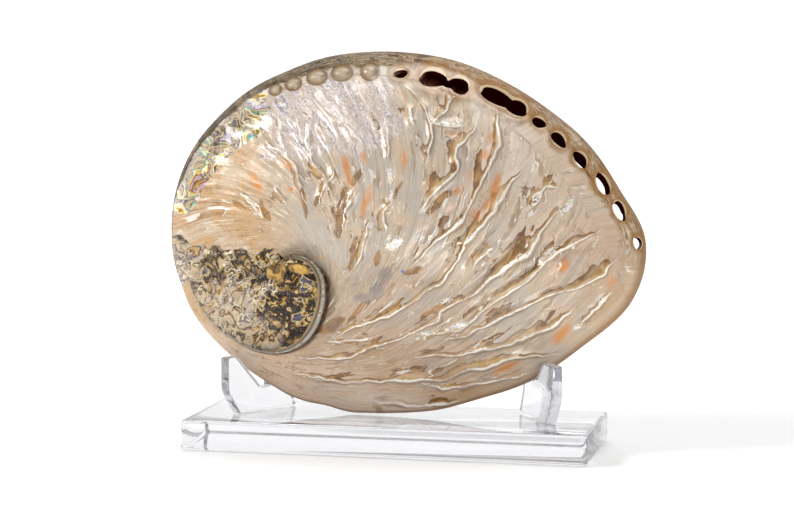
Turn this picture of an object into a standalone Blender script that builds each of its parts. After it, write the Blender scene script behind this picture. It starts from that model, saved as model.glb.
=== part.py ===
# Abalone shell standing on edge in a clear stand: one slab and two hooked brackets.
# Lengths below are millimetres and angles are degrees. MM turns a length into metres for a mesh.
# The frame: origin at the middle of the slab's underside, +X along the slab, -Y to the front, +Z up.
import math

import bmesh
import bpy
import numpy as np
from mathutils import Vector

MM = 0.001
TOUCHING_GAP = 0.3

# The slab
SLAB_LENGTH = 162.0
SLAB_DEPTH = 60.0
SLAB_HEIGHT = 12.0
SLAB_CORNER_RADIUS = 2.4
SLAB_EDGE_CHAMFER = 1.2

# The brackets, each a flat plate set on edge, its rear end turned towards the middle
PLATE_THICKNESS = 4.5
BRACKET_TURN = 29.0
FOOT_LENGTH = 32.0
HOOK_HEIGHT = 23.5
HOOK_BULGE = 6.5
ARM_HEIGHT = 40.0
ARM_WIDTH = 6.5

# Each bracket's front foot on the slab, then its seat for the shell, along the plate and over the slab
LEFT_FOOT = (-63.5, -10.0)
LEFT_HOOK_BACK = -1.5
LEFT_NOTCH = (12.5, 9.6)
LEFT_ARM_AT = 18.0
RIGHT_FOOT = (63.5, -6.0)
RIGHT_HOOK_BACK = 4.5
RIGHT_NOTCH = (13.4, 15.2)
RIGHT_ARM_AT = 16.6

# The shell's place: its mouth faces back, and the plane of its rim leans back
LEAN = 14.0
APEX_X = -37.0
APEX_Z = 59.2
RIM_FOOT_Y = 1.0
RIM_FOOT_Z = 14.6
APEX_HEIGHT = 42.0

# Distance from the apex to the rim every 10 degrees, clockwise from the left as the front is seen
RIM_RADII = (
    54.5, 59.5, 64.5, 70.0, 75.5, 80.5, 84.5, 89.0, 92.5, 97.0, 101.0, 105.5,
    110.5, 115.0, 120.0, 126.0, 130.5, 136.0, 129.5, 111.5, 96.5, 81.5, 71.0, 62.0,
    55.5, 51.0, 46.5, 44.5, 43.0, 41.5, 41.0, 41.5, 42.5, 44.5, 47.5, 51.0)

# The spiral suture: its distance from the apex at the left, and its growth in one turn
SUTURE_START = 5.1
GROWTH_PER_TURN = 8.8
COIL_RISE = 5.0
COIL_VALLEY = 6.0
NUCLEUS = 8.0

# The wall, the lip and the shelf inside the coiled side of the mouth
WALL = 3.5
LIP = 3.0
SHELF_WIDTH = 14.0
SHELF_EDGE = 2.4

# The mesh: columns round the apex, and rows from the apex to the suture and on to the rim
COLUMNS = 88
COIL_ROWS = 5
BODY_ROWS = 15
INNER_ROWS = 9
INNER_REACH = 0.985
FOLD_SWEEP = 42.0

# Where the folds and pores are read from: a viewpoint in front, a little to the right and above
VIEW_TURN = 13.0
VIEW_RISE = 5.9
VIEW_DISTANCE = 960.0
VIEW_MIDDLE = (44.8, 6.4)
VIEW_HEIGHT = 72.3
VIEW_SIDE = 0.24

# A fold is a crest with a trough on its older side
FOLD_WIDTH = 3.0
FOLD_GROWTH = 1.6
TROUGH_AT = 4.8
TROUGH_SHARE = 0.5

# Each fold: its height, then points from its outer to its inner end, right and up from the apex
FOLDS = (
    (1.0, (-17.6, 36.4), (-10.0, 30.0), (-7.6, 25.2)),
    (0.8, (-8.0, 56.4), (-1.2, 51.2), (2.0, 48.4)),
    (1.2, (-3.6, 66.4), (-2.0, 57.2), (0.8, 50.0), (5.2, 44.0), (6.8, 30.0)),
    (0.9, (3.2, 66.4), (6.0, 57.2), (11.2, 48.0)),
    (1.6, (7.6, 65.6), (8.8, 54.8), (11.2, 48.4), (16.0, 41.6), (20.4, 29.6)),
    (1.5, (9.6, 78.0), (14.0, 71.2), (25.2, 61.2), (32.8, 54.8)),
    (0.8, (11.2, 68.0), (16.0, 59.2), (19.6, 54.8)),
    (1.2, (19.6, 46.4), (19.2, 42.0), (16.8, 39.2), (12.8, 29.6)),
    (1.4, (28.8, 36.4), (23.6, 26.4), (23.2, 19.6)),
    (0.8, (-5.2, 37.6), (-3.2, 34.8), (0.0, 30.0)),
    (1.4, (35.2, 24.0), (32.8, 21.6), (29.6, 10.8), (25.6, 2.0)),
    (1.2, (44.0, 30.8), (40.4, 27.6), (39.6, 24.0), (40.8, 19.2)),
    (1.1, (39.6, 65.6), (40.8, 57.2), (41.2, 51.6), (40.0, 47.2)),
    (1.3, (47.2, 79.6), (54.0, 71.2), (58.4, 62.4), (59.2, 57.2), (54.8, 45.2)),
    (0.7, (49.2, 69.6), (48.8, 65.6), (51.2, 60.4)),
    (1.4, (70.0, 74.4), (65.2, 70.4), (64.8, 68.0), (58.8, 62.4)),
    (0.9, (71.6, 62.4), (66.8, 62.0), (58.8, 62.0)),
    (1.7, (77.2, 62.0), (69.2, 54.0), (68.4, 49.2), (68.8, 44.0), (61.2, 36.4), (52.4, 26.4)),
    (1.8, (84.8, 69.2), (86.0, 53.6), (81.6, 47.2), (77.2, 36.0), (70.8, 24.0), (57.2, 13.6), (50.0, 4.4)),
    (2.0, (101.2, 48.0), (92.0, 41.6), (82.4, 25.2), (71.2, 14.8), (70.8, 11.6), (62.4, 0.0),
     (50.8, -9.2), (34.4, -16.4), (16.0, -23.6)),
    (1.0, (109.2, 37.2), (104.0, 38.0), (99.2, 34.4), (98.0, 28.0)),
    (2.0, (115.6, 32.0), (107.6, 27.2), (97.2, 10.8), (87.2, 4.0), (78.8, -4.0), (62.0, -12.8),
     (60.4, -16.0), (43.2, -24.8), (25.6, -31.2), (3.6, -31.2)),
    (2.0, (128.8, 22.0), (117.6, 16.0), (104.0, 7.2), (95.2, -1.6), (82.4, -10.0), (69.2, -20.8), (52.8, -21.6)),
    (0.9, (108.8, 13.6), (104.0, 11.6), (100.8, 7.2)),
    (1.7, (133.2, 8.8), (127.6, 2.0), (112.0, -4.8), (100.8, -8.4), (86.0, -15.6), (71.6, -22.4), (60.0, -24.8)),
    (1.3, (131.6, -5.6), (127.2, -10.0), (118.4, -18.0)),
    (1.5, (116.4, -12.0), (106.8, -18.8), (88.0, -25.6), (70.0, -29.6), (50.0, -31.6)),
    (1.5, (110.4, -28.8), (90.4, -31.2), (77.2, -35.6), (62.8, -39.6), (46.8, -40.4), (23.6, -40.4),
     (7.2, -37.2), (-2.0, -36.0)),
    (1.3, (99.6, -38.0), (82.4, -41.2), (70.0, -43.6), (52.0, -42.0)),
    (1.0, (34.8, -23.6), (26.4, -24.8), (15.6, -24.4)),
    (1.0, (70.0, -49.2), (60.0, -49.6), (53.2, -50.8), (46.8, -50.0), (32.0, -48.0)),
    (1.2, (84.4, 14.4), (80.0, 11.6), (74.0, 4.4)))

# Open pores: middle, half length, half width, and the slope of the length
PORES = (
    ((46.4, 82.8), 2.4, 1.5, 5.0),
    ((60.0, 80.6), 5.0, 3.1, -10.0),
    ((69.6, 78.4), 3.8, 3.0, -35.0),
    ((65.2, 79.0), 3.4, 1.2, -12.0),
    ((85.6, 73.0), 7.6, 3.0, -27.0),
    ((93.6, 69.2), 4.2, 2.6, -27.0),
    ((101.6, 63.2), 2.5, 2.2, -45.0),
    ((109.6, 56.2), 3.3, 2.4, -62.0),
    ((118.2, 48.2), 3.2, 2.6, -60.0),
    ((127.0, 38.6), 4.0, 2.7, -68.0),
    ((133.8, 28.0), 3.8, 2.4, -72.0),
    ((141.4, 15.0), 2.3, 1.8, -75.0))
PORE_SIDES = 10
PORE_FLARE = 1.15
PORE_DEPTH = 10.5
PORE_COLLAR = 1.0

# Closed pores, each a pearl of nacre: middle and radius
PEARLS = (
    ((34.0, 83.4), 3.3),
    ((22.8, 82.8), 3.5),
    ((12.8, 81.2), 3.3),
    ((3.4, 78.4), 2.7),
    ((-3.6, 76.0), 2.2))
PEARL_STANDS = 0.55

SHELL_COLOUR = (0.56, 0.47, 0.36, 1.0)
SHELL_ROUGHNESS = 0.22
CLEAR_COLOUR = (0.93, 0.95, 0.96, 1.0)
CLEAR_ROUGHNESS = 0.04
CLEAR_IOR = 1.49


# Helpers for curves
def smooth(start, end, value):
    """0 before start and 1 after end, with a smooth climb between them."""
    part = np.clip((value - start) / (end - start), 0.0, 1.0)
    return part * part * (3.0 - 2.0 * part)


def around(values, angle):
    """A smooth closed curve through values spaced evenly round a turn."""
    values = np.asarray(values)
    place = np.mod(angle, 2.0 * np.pi) / (2.0 * np.pi) * len(values)
    first = np.floor(place).astype(int)
    part = place - first
    a, b, c, d = (values[(first + step) % len(values)] for step in (-1, 0, 1, 2))
    return b + 0.5 * part * (c - a + part * (2 * a - 5 * b + 4 * c - d + part * (3 * (b - c) + d - a)))


# The shell's form, as height over the plane of its rim at a distance and an angle round the apex
def turn_of(angle):
    """The angle in degrees, from 0 at the left and clockwise to 360."""
    return np.degrees(np.mod(angle, 2.0 * np.pi))


def suture_radius(angle):
    """The seam between the coils, a logarithmic spiral."""
    return SUTURE_START * GROWTH_PER_TURN ** (turn_of(angle) / 360.0)


def inner_row_radius(angle):
    """The ring of the mesh that follows the suture, and closes on itself at the left."""
    turn = turn_of(angle)
    back = smooth(325.0, 385.0, np.where(turn < 30.0, turn + 360.0, turn))
    spiral = np.where(turn < 30.0, suture_radius(angle) * GROWTH_PER_TURN, suture_radius(angle))
    return spiral * GROWTH_PER_TURN ** -back


def outer_lip_share(angle):
    """1 along the thin outer lip at the right and bottom, 0 on the coiled side."""
    turn = turn_of(angle)
    return smooth(140.0, 205.0, turn) * (1.0 - smooth(275.0, 335.0, turn))


def dome(share, angle):
    """The body's height, from the apex at share 0 to the rim at share 1."""
    lip = outer_lip_share(angle)
    turn = turn_of(angle)
    swell = 8.0 * smooth(30.0, 110.0, turn) * (1.0 - smooth(190.0, 260.0, turn))
    share = np.clip(share, 0.0, 1.0)
    fall = (1.0 - share ** (2.5 - 0.6 * lip)) ** (0.52 + 0.30 * lip)
    return APEX_HEIGHT * fall + swell * np.sin(np.pi * share ** 0.85) ** 1.3


def coil(radius, angle, rise_share=1.0):
    """The older coil standing proud inside the suture, and the valley along the suture."""
    turn = turn_of(angle)
    edge = suture_radius(angle)
    rise = rise_share * COIL_RISE * smooth(0.0, 110.0, turn) * (1.0 - smooth(270.0, 358.0, turn))
    valley = COIL_VALLEY * smooth(0.0, 120.0, turn) * (1.0 - smooth(262.0, 335.0, turn))
    past = radius - edge
    climb = np.clip(-past / (0.45 * edge), 0.0, 1.0)
    wall = np.sqrt(1.0 - (1.0 - climb) ** 2)
    inside = rise * wall * smooth(0.0, NUCLEUS, radius) - valley * (1.0 - wall)
    outside = -valley * np.exp(-np.clip(past, 0.0, None) / (0.42 * edge + 1.5))
    return np.where(past < 0.0, inside, outside)


def placed(radius, angle, height):
    """A point of the leaning shell from its distance, angle and height over the rim's plane."""
    lean = math.radians(LEAN)
    across = -radius * np.cos(angle)
    along = radius * np.sin(angle) + (APEX_Z - RIM_FOOT_Z) / math.cos(lean)
    y = RIM_FOOT_Y + along * math.sin(lean) - height * math.cos(lean)
    z = RIM_FOOT_Z + along * math.cos(lean) + height * math.sin(lean)
    return np.stack([APEX_X + across, y, z], axis=-1)


def mesh_grid(coil_rows, body_rows, columns):
    """Angles and shares of the outer face, its rows closing in on the suture and sweeping with the folds."""
    column = np.arange(columns) * 2.0 * np.pi / columns
    inward = np.linspace(0.0, 1.0, coil_rows + 1)[1:, None]
    outward = np.linspace(0.0, 1.0, body_rows + 1)[1:, None]
    outward = 0.45 * outward + 0.55 * 0.5 * (1.0 - np.cos(np.pi * outward))
    sweep = math.radians(FOLD_SWEEP)
    angle = np.concatenate([column + sweep + 0.0 * inward, column + sweep * (1.0 - outward) ** 1.4])
    ring, rim = inner_row_radius(angle), around(RIM_RADII, angle)
    radius = np.concatenate([
        ring[:coil_rows] * inward ** 0.8,
        ring[coil_rows:] + (rim - ring)[coil_rows:] * outward])
    return angle, radius / rim


# Folds and pores, read from in front
def view_axes():
    """The directions to the right, up and towards the viewpoint."""
    turn, rise = math.radians(VIEW_TURN), math.radians(VIEW_RISE)
    right = np.array([math.cos(turn), math.sin(turn), 0.0])
    towards = np.array([math.sin(turn) * math.cos(rise), -math.cos(turn) * math.cos(rise), math.sin(rise)])
    return right, np.cross(towards, right), towards


def seen(points):
    """Where points appear from the viewpoint, right and up from the apex."""
    right, up, towards = view_axes()
    scale = VIEW_DISTANCE / (VIEW_DISTANCE - points @ towards)
    across = (points @ right - VIEW_SIDE) * scale + VIEW_MIDDLE[0]
    above = (points @ up - VIEW_HEIGHT) * scale + VIEW_MIDDLE[1]
    return np.stack([across, above], axis=-1)


def fold_relief(places):
    """The height of the folds at places seen from in front."""
    total = np.zeros(places.shape[:-1])
    for height, *points in FOLDS:
        line = np.array(points)
        lengths = np.hypot(*np.diff(line, axis=0).T)
        starts = np.concatenate([[0.0], np.cumsum(lengths)])
        nearest = np.full(total.shape, 1e9)
        side = np.zeros(total.shape)
        gone = np.zeros(total.shape)
        for a, b, length, start in zip(line[:-1], line[1:], lengths, starts):
            ahead = (b - a) / length
            along = np.clip((places - a) @ ahead, 0.0, length)
            offset = places - a - along[..., None] * ahead
            distance = np.hypot(offset[..., 0], offset[..., 1])
            closer = distance < nearest
            turned = offset[..., 0] * ahead[1] - offset[..., 1] * ahead[0]
            side = np.where(closer, np.sign(turned) * distance, side)
            gone = np.where(closer, (start + along) / starts[-1], gone)
            nearest = np.where(closer, distance, nearest)
        fade = smooth(0.0, 0.15, gone + 0.04) * (1.0 - smooth(0.85, 1.05, gone))
        crest = np.exp(-(side / FOLD_WIDTH) ** 2)
        trough = TROUGH_SHARE * np.exp(-((side - TROUGH_AT) / FOLD_WIDTH) ** 2)
        reach = np.exp(-(nearest / (2.6 * FOLD_WIDTH)) ** 4)
        total += FOLD_GROWTH * height * fade * reach * (crest - trough)
    return total


def collar_relief(places):
    """A raised collar round each open pore."""
    total = np.zeros(places.shape[:-1])
    for middle, half_length, half_width, _ in PORES:
        distance = np.hypot(*np.moveaxis(places - np.array(middle), -1, 0))
        ring = 0.5 * (half_length + half_width) + 2.0
        total = np.maximum(total, PORE_COLLAR * np.exp(-((distance - ring) / 2.2) ** 2))
    return total


# The shell's mesh
def outer_face(angle, share):
    """Rows of the outer face, with its folds and collars standing out from the dome."""
    radius = share * around(RIM_RADII, angle)
    height = dome(share, angle) + coil(radius, angle) * (1.0 - smooth(0.9, 1.0, share))
    places = seen(placed(radius, angle, height))
    calm = 1.0 - smooth(0.93, 1.0, share)
    height = height + calm * (fold_relief(places) + collar_relief(places))
    return placed(radius, angle, height)


def shelf_width(angle):
    """The shelf runs along the coiled side of the mouth and fades out at the thin lip."""
    turn = turn_of(angle)
    return SHELF_WIDTH * (smooth(290.0, 345.0, turn) + (1.0 - smooth(120.0, 176.0, turn)))


def inner_height(share, angle, rim):
    """The inner face, nested in the dome and kept under the valley of the suture."""
    radius = share * rim
    nested = dome(share, angle) * (1.0 - WALL / APEX_HEIGHT)
    hollow = coil(radius, angle, 0.25) * (1.0 - smooth(0.8, 0.97, share))
    return nested + np.minimum(hollow, 0.25 * COIL_RISE) - 0.6 * smooth(1.0, 0.8, share)


def mouth_rows(angle, rim):
    """Rows from the rim round the lip, along the shelf's back, round its edge and along its front."""
    width = shelf_width(angle)
    lift = width / SHELF_WIDTH
    outline = (
        (0.45 * LIP, -0.7 + 0.0 * lift),
        (0.95 * LIP, -0.5 + 0.0 * lift),
        (LIP + 0.5 * width, 0.1 + 0.6 * lift),
        (LIP + 0.12 + 0.94 * width, 0.5 + 0.7 * lift),
        (LIP + 0.2 + width, 0.9 + (0.3 + 0.5 * SHELF_EDGE) * lift),
        (LIP + 0.3 + 0.94 * width, 1.3 + (0.5 + SHELF_EDGE) * lift),
        (LIP + 0.4 + 0.45 * width, 1.7 + (0.8 + SHELF_EDGE) * lift))
    return [placed(rim - inward, angle, height + 0.0 * angle) for inward, height in outline]


def shell_mesh():
    angle, share = mesh_grid(COIL_ROWS, BODY_ROWS, COLUMNS)
    rim_angle = angle[-1]
    rim = around(RIM_RADII, rim_angle)
    rows = list(outer_face(angle, share)) + mouth_rows(rim_angle, rim)
    inner_angle, inner_share = mesh_grid(COIL_ROWS, INNER_ROWS, COLUMNS)
    inner_share = inner_share * INNER_REACH
    inner_rim = around(RIM_RADII, inner_angle) - WALL
    inner_rise = inner_height(inner_share, inner_angle, inner_rim)
    inner_rows = placed(inner_share * inner_rim, inner_angle, inner_rise)
    rows += list(inner_rows[::-1])
    zero = np.zeros(1)
    top = placed(zero, zero, dome(zero, zero) + coil(zero + 0.01, zero))
    below = placed(zero, zero, inner_height(zero, zero, 0.0))
    return closed_mesh("shell", np.concatenate([top, *rows, below]), len(rows), COLUMNS)


def closed_mesh(name, points, row_count, columns):
    """A closed skin: a point, rows of points round it, and a last point."""
    here = np.arange(row_count * columns).reshape(row_count, columns) + 1
    after = np.roll(here, -1, axis=1)
    last = row_count * columns + 1
    faces = [(0, a, b) for a, b in zip(here[0], after[0])]
    for low, low_after, high, high_after in zip(here[:-1], after[:-1], here[1:], after[1:]):
        faces += list(zip(low, high, high_after, low_after))
    faces += [(last, b, a) for a, b in zip(here[-1], after[-1])]
    mesh = bpy.data.meshes.new(name)
    mesh.from_pydata((points * MM).tolist(), [], [[int(i) for i in face] for face in faces])
    return outward(mesh)


def outward(mesh):
    """The mesh with its faces in flat triangles that all point out."""
    work = bmesh.new()
    work.from_mesh(mesh)
    bmesh.ops.triangulate(work, faces=work.faces)
    bmesh.ops.recalc_face_normals(work, faces=work.faces)
    work.to_mesh(mesh)
    work.free()
    return mesh


# The shell with its pores and pearls
def surface_point(place):
    """The point of the outer face that is seen nearest to a place, and the face's direction there."""
    angle, share = mesh_grid(20, 120, 480)
    points = outer_face(angle, share)
    distance = np.hypot(*np.moveaxis(seen(points) - np.array(place), -1, 0))
    row, column = np.unravel_index(np.argmin(distance), distance.shape)
    row = min(row, len(points) - 2)
    around_edge = points[row, (column + 1) % 480] - points[row, column - 1]
    outwards = points[row + 1, column] - points[row - 1, column]
    normal = np.cross(around_edge, outwards)
    normal *= np.sign(normal @ view_axes()[2]) / np.linalg.norm(normal)
    return points[row, column], normal


def pore_cutter(number, pore):
    """A flared plug that goes through the wall and stops short of the shelf behind it."""
    middle, half_length, half_width, slope = pore
    right, up, towards = view_axes()
    centre, normal = surface_point(middle)
    spot = seen(centre[None])[0]
    centre = centre + right * (middle[0] - spot[0]) + up * (middle[1] - spot[1])
    axis = towards + 0.35 * normal
    axis /= np.linalg.norm(axis)
    tilt = math.radians(slope)
    long_side = right * math.cos(tilt) + up * math.sin(tilt)
    wide_side = up * math.cos(tilt) - right * math.sin(tilt)
    turn = np.arange(PORE_SIDES) * 2.0 * np.pi / PORE_SIDES
    ring = np.outer(np.cos(turn), long_side) * half_length + np.outer(np.sin(turn), wide_side) * half_width
    rings = [centre + axis * depth + ring * grow for depth, grow in (
        (7.0, PORE_FLARE), (-1.0, 1.0), (-PORE_DEPTH, 1.0))]
    points = np.concatenate([(centre + axis * 7.0)[None], *rings, (centre - axis * PORE_DEPTH)[None]])
    return helper_object(closed_mesh(f"pore_{number}", points, len(rings), PORE_SIDES))


def pearl_body(number, pearl):
    """A closed pore's pearl, a ball set into the wall."""
    middle, radius = pearl
    centre, normal = surface_point(middle)
    centre = centre - normal * radius * (1.0 - PEARL_STANDS)
    work = bmesh.new()
    bmesh.ops.create_icosphere(work, subdivisions=2, radius=radius * MM)
    bmesh.ops.translate(work, verts=work.verts, vec=Vector(centre * MM))
    mesh = bpy.data.meshes.new(f"pearl_{number}")
    work.to_mesh(mesh)
    work.free()
    return helper_object(mesh)


def helper_object(mesh):
    """An object that only shapes another one."""
    helper = bpy.data.objects.new(mesh.name, mesh)
    bpy.context.scene.collection.objects.link(helper)
    helper.hide_render = True
    helper.display_type = "WIRE"
    return helper


def joined(target, helper, operation):
    """A Boolean of target with helper, kept as a modifier."""
    modifier = target.modifiers.new(helper.name, "BOOLEAN")
    modifier.operation = operation
    modifier.solver = "EXACT"
    modifier.object = helper


def make_shell():
    shell = new_object("shell", shell_mesh(), material("nacre", SHELL_COLOUR, SHELL_ROUGHNESS))
    for number, pearl in enumerate(PEARLS):
        joined(shell, pearl_body(number, pearl), "UNION")
    for number, pore in enumerate(PORES):
        joined(shell, pore_cutter(number, pore), "DIFFERENCE")
    return shell


# The stand
def make_slab():
    work = bmesh.new()
    bmesh.ops.create_cube(work, size=1.0)
    bmesh.ops.scale(work, verts=work.verts, vec=Vector((SLAB_LENGTH, SLAB_DEPTH, SLAB_HEIGHT)) * MM)
    bmesh.ops.translate(work, verts=work.verts, vec=Vector((0.0, 0.0, SLAB_HEIGHT / 2)) * MM)
    upright = [edge for edge in work.edges if abs(edge.verts[0].co.z - edge.verts[1].co.z) > MM]
    bmesh.ops.bevel(
        work, geom=upright, offset=SLAB_CORNER_RADIUS * MM, segments=4, profile=0.5, affect="EDGES")
    level = [edge for edge in work.edges if abs(edge.verts[0].co.z - edge.verts[1].co.z) < 0.01 * MM]
    bmesh.ops.bevel(
        work, geom=level, offset=SLAB_EDGE_CHAMFER * MM, segments=2, profile=0.5, affect="EDGES")
    mesh = bpy.data.meshes.new("base")
    work.to_mesh(mesh)
    work.free()
    return new_object("base", mesh, clear_material())


def rounded(corners):
    """An outline with each corner, given as along, up and radius, turned into a short arc."""
    outline = []
    for index, (along, up, radius) in enumerate(corners):
        corner = Vector((along, up))
        if radius == 0.0:
            outline.append(corner)
            continue
        before = Vector(corners[index - 1][:2]) - corner
        after = Vector(corners[(index + 1) % len(corners)][:2]) - corner
        half = before.angle(after) / 2.0
        reach = min(radius / math.tan(half), 0.45 * before.length, 0.45 * after.length)
        start = corner + before.normalized() * reach
        end = corner + after.normalized() * reach
        for step in range(4):
            part = step / 3.0
            outline.append(start.lerp(corner, part).lerp(corner.lerp(end, part), part))
    return outline


def bracket_outline(hook_back, notch, arm_at):
    """The plate's side: a hook in front, a notch for the shell's lip, and an arm behind it."""
    notch_at, notch_height = notch
    climb = ARM_HEIGHT - notch_height
    back = math.tan(math.radians(LEAN)) / math.cos(math.radians(BRACKET_TURN)) * climb
    return rounded((
        (0.0, TOUCHING_GAP, 0.0),
        (-HOOK_BULGE, 0.42 * HOOK_HEIGHT, 9.0),
        (-HOOK_BULGE, HOOK_HEIGHT, 1.5),
        (hook_back, HOOK_HEIGHT, 1.5),
        (notch_at, notch_height, 1.0),
        (arm_at - 0.8, notch_height + 0.3, 0.8),
        (arm_at + back, ARM_HEIGHT, 2.4),
        (arm_at + back + ARM_WIDTH, ARM_HEIGHT, 3.0),
        (FOOT_LENGTH - 4.0, 10.0, 6.0),
        (FOOT_LENGTH, TOUCHING_GAP, 0.0)))


def make_bracket(name, side, front_foot, outline):
    """A bracket plate, side -1 for the left one and 1 for the right one."""
    turn = math.radians(BRACKET_TURN)
    along = Vector((-side * math.sin(turn), math.cos(turn), 0.0))
    across = Vector((math.cos(turn), side * math.sin(turn), 0.0))
    foot = Vector((*front_foot, SLAB_HEIGHT))
    work = bmesh.new()
    points = [foot + along * place.x + Vector((0.0, 0.0, place.y)) for place in outline]
    face = work.faces.new([work.verts.new((point - across * PLATE_THICKNESS / 2) * MM) for point in points])
    thick = bmesh.ops.extrude_face_region(work, geom=[face])
    moved = [item for item in thick["geom"] if isinstance(item, bmesh.types.BMVert)]
    bmesh.ops.translate(work, verts=moved, vec=across * PLATE_THICKNESS * MM)
    mesh = bpy.data.meshes.new(name)
    work.to_mesh(mesh)
    work.free()
    return new_object(name, outward(mesh), clear_material())


# Materials and objects
def material(name, colour, roughness):
    made = bpy.data.materials.new(name)
    made.use_nodes = True
    shader = made.node_tree.nodes["Principled BSDF"]
    shader.inputs["Base Color"].default_value = colour
    shader.inputs["Roughness"].default_value = roughness
    shader.inputs["Metallic"].default_value = 0.0
    made.diffuse_color = colour
    return made


def clear_material():
    if "clear_acrylic" in bpy.data.materials:
        return bpy.data.materials["clear_acrylic"]
    clear = material("clear_acrylic", CLEAR_COLOUR, CLEAR_ROUGHNESS)
    shader = clear.node_tree.nodes["Principled BSDF"]
    shader.inputs["Transmission Weight"].default_value = 1.0
    shader.inputs["IOR"].default_value = CLEAR_IOR
    return clear


def new_object(name, mesh, finish):
    made = bpy.data.objects.new(name, mesh)
    made.data.materials.append(finish)
    bpy.context.scene.collection.objects.link(made)
    return made


def main():
    for old in list(bpy.data.objects):
        bpy.data.objects.remove(old)
    make_shell()
    make_slab()
    make_bracket("left_bracket", -1, LEFT_FOOT, bracket_outline(LEFT_HOOK_BACK, LEFT_NOTCH, LEFT_ARM_AT))
    make_bracket("right_bracket", 1, RIGHT_FOOT, bracket_outline(RIGHT_HOOK_BACK, RIGHT_NOTCH, RIGHT_ARM_AT))


main()
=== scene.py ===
# %% [markdown]
# # An abalone shell on a clear stand
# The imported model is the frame: one shell, one slab and two brackets. Here each of them gets its fine
# surface. Lengths are millimetres unless a name says otherwise, and MM turns them into Blender's metres.

# %% Load the frame
import math

import bmesh
import bpy
import numpy as np
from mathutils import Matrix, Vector


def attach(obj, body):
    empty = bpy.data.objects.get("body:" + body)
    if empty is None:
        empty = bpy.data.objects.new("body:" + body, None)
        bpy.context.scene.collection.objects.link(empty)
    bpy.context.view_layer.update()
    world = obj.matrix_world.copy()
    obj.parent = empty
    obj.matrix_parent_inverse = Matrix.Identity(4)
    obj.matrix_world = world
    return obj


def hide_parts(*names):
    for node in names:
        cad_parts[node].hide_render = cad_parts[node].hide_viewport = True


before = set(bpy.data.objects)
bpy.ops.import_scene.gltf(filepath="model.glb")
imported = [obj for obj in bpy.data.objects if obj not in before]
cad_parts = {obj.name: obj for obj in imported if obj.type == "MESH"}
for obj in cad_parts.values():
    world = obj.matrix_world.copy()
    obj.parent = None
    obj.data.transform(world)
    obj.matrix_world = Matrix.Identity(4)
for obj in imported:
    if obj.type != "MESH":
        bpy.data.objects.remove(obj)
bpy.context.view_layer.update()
MM = 0.001


# %% [markdown]
# ## The camera
# The object is seen from a little to the right and a little above, through a long lens, so the slab's sides
# hardly converge. The same viewpoint places the folds and marks on the shell, because that is how they were
# read.

# %% The viewpoint
VIEW_TURN = 13.0
VIEW_RISE = 5.9
VIEW_DISTANCE = 960.0
VIEW_HEIGHT = 72.3
VIEW_SIDE = 0.24
VIEW_MIDDLE = (44.8, 6.4)
LENS = 108.8
SENSOR = 36.0
CLIP_END = 20.0


def view_axes():
    """The directions to the right, up and towards the viewpoint."""
    turn, rise = math.radians(VIEW_TURN), math.radians(VIEW_RISE)
    right = np.array([math.cos(turn), math.sin(turn), 0.0])
    towards = np.array([math.sin(turn) * math.cos(rise), -math.cos(turn) * math.cos(rise), math.sin(rise)])
    return right, np.cross(towards, right), towards


def seen(points):
    """Where points appear from the viewpoint, right and up from the shell's apex."""
    right, up, towards = view_axes()
    scale = VIEW_DISTANCE / (VIEW_DISTANCE - points @ towards)
    across = (points @ right - VIEW_SIDE) * scale + VIEW_MIDDLE[0]
    above = (points @ up - VIEW_HEIGHT) * scale + VIEW_MIDDLE[1]
    return np.stack([across, above], axis=-1)


# %% The camera itself
def make_camera():
    right, up, towards = view_axes()
    camera = bpy.data.objects.new("camera", bpy.data.cameras.new("camera"))
    camera.data.lens = LENS
    camera.data.sensor_width = SENSOR
    camera.data.clip_end = CLIP_END
    place = (right * VIEW_SIDE + up * VIEW_HEIGHT + towards * VIEW_DISTANCE) * MM
    camera.location = Vector(place)
    camera.rotation_euler = Vector(towards).to_track_quat("Z", "Y").to_euler()
    bpy.context.scene.collection.objects.link(camera)
    bpy.context.scene.camera = camera
    return camera


camera = make_camera()
print("camera at", [round(value, 3) for value in camera.location])

# %% [markdown]
# ## Curves that the whole shell is built from
# Two small helpers carry the form: a smooth step from 0 to 1, and a closed curve through evenly spaced
# values. A third gives soft, repeatable noise, which makes the shell's waves irregular.

# %% Helpers for curves and noise
def smooth(start, end, value):
    """0 before start and 1 after end, with the smooth climb t * t * (3 - 2 * t) between them."""
    part = np.clip((value - start) / (end - start), 0.0, 1.0)
    return part * part * (3.0 - 2.0 * part)


def around(values, angle):
    """A smooth closed curve (Catmull-Rom) through values spaced evenly round a turn."""
    values = np.asarray(values)
    place = np.mod(angle, 2.0 * np.pi) / (2.0 * np.pi) * len(values)
    first = np.floor(place).astype(int)
    part = place - first
    a, b, c, d = (values[(first + step) % len(values)] for step in (-1, 0, 1, 2))
    return b + 0.5 * part * (c - a + part * (2 * a - 5 * b + 4 * c - d + part * (3 * (b - c) + d - a)))


NOISE_SIZE = 97


def wave_noise(u, v, seed):
    """Soft noise from -1 to 1: random heights on a square lattice, eased from one to the next."""
    table = np.random.default_rng(seed).uniform(-1.0, 1.0, (NOISE_SIZE, NOISE_SIZE))
    row, column = np.floor(u).astype(int), np.floor(v).astype(int)
    across, along = smooth(0.0, 1.0, u - row), smooth(0.0, 1.0, v - column)
    corner = [[table[(row + i) % NOISE_SIZE, (column + j) % NOISE_SIZE] for j in (0, 1)] for i in (0, 1)]
    low = corner[0][0] * (1.0 - along) + corner[0][1] * along
    high = corner[1][0] * (1.0 - along) + corner[1][1] * along
    return low * (1.0 - across) + high * across


# %% [markdown]
# ## The form of the shell
# An abalone is a very open coil. Its form is a height over the plane of its mouth, at a distance and an
# angle round the apex: a broad dome, with the older coil standing proud inside a spiral seam. The numbers
# are the frame's own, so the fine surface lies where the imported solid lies.

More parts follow.
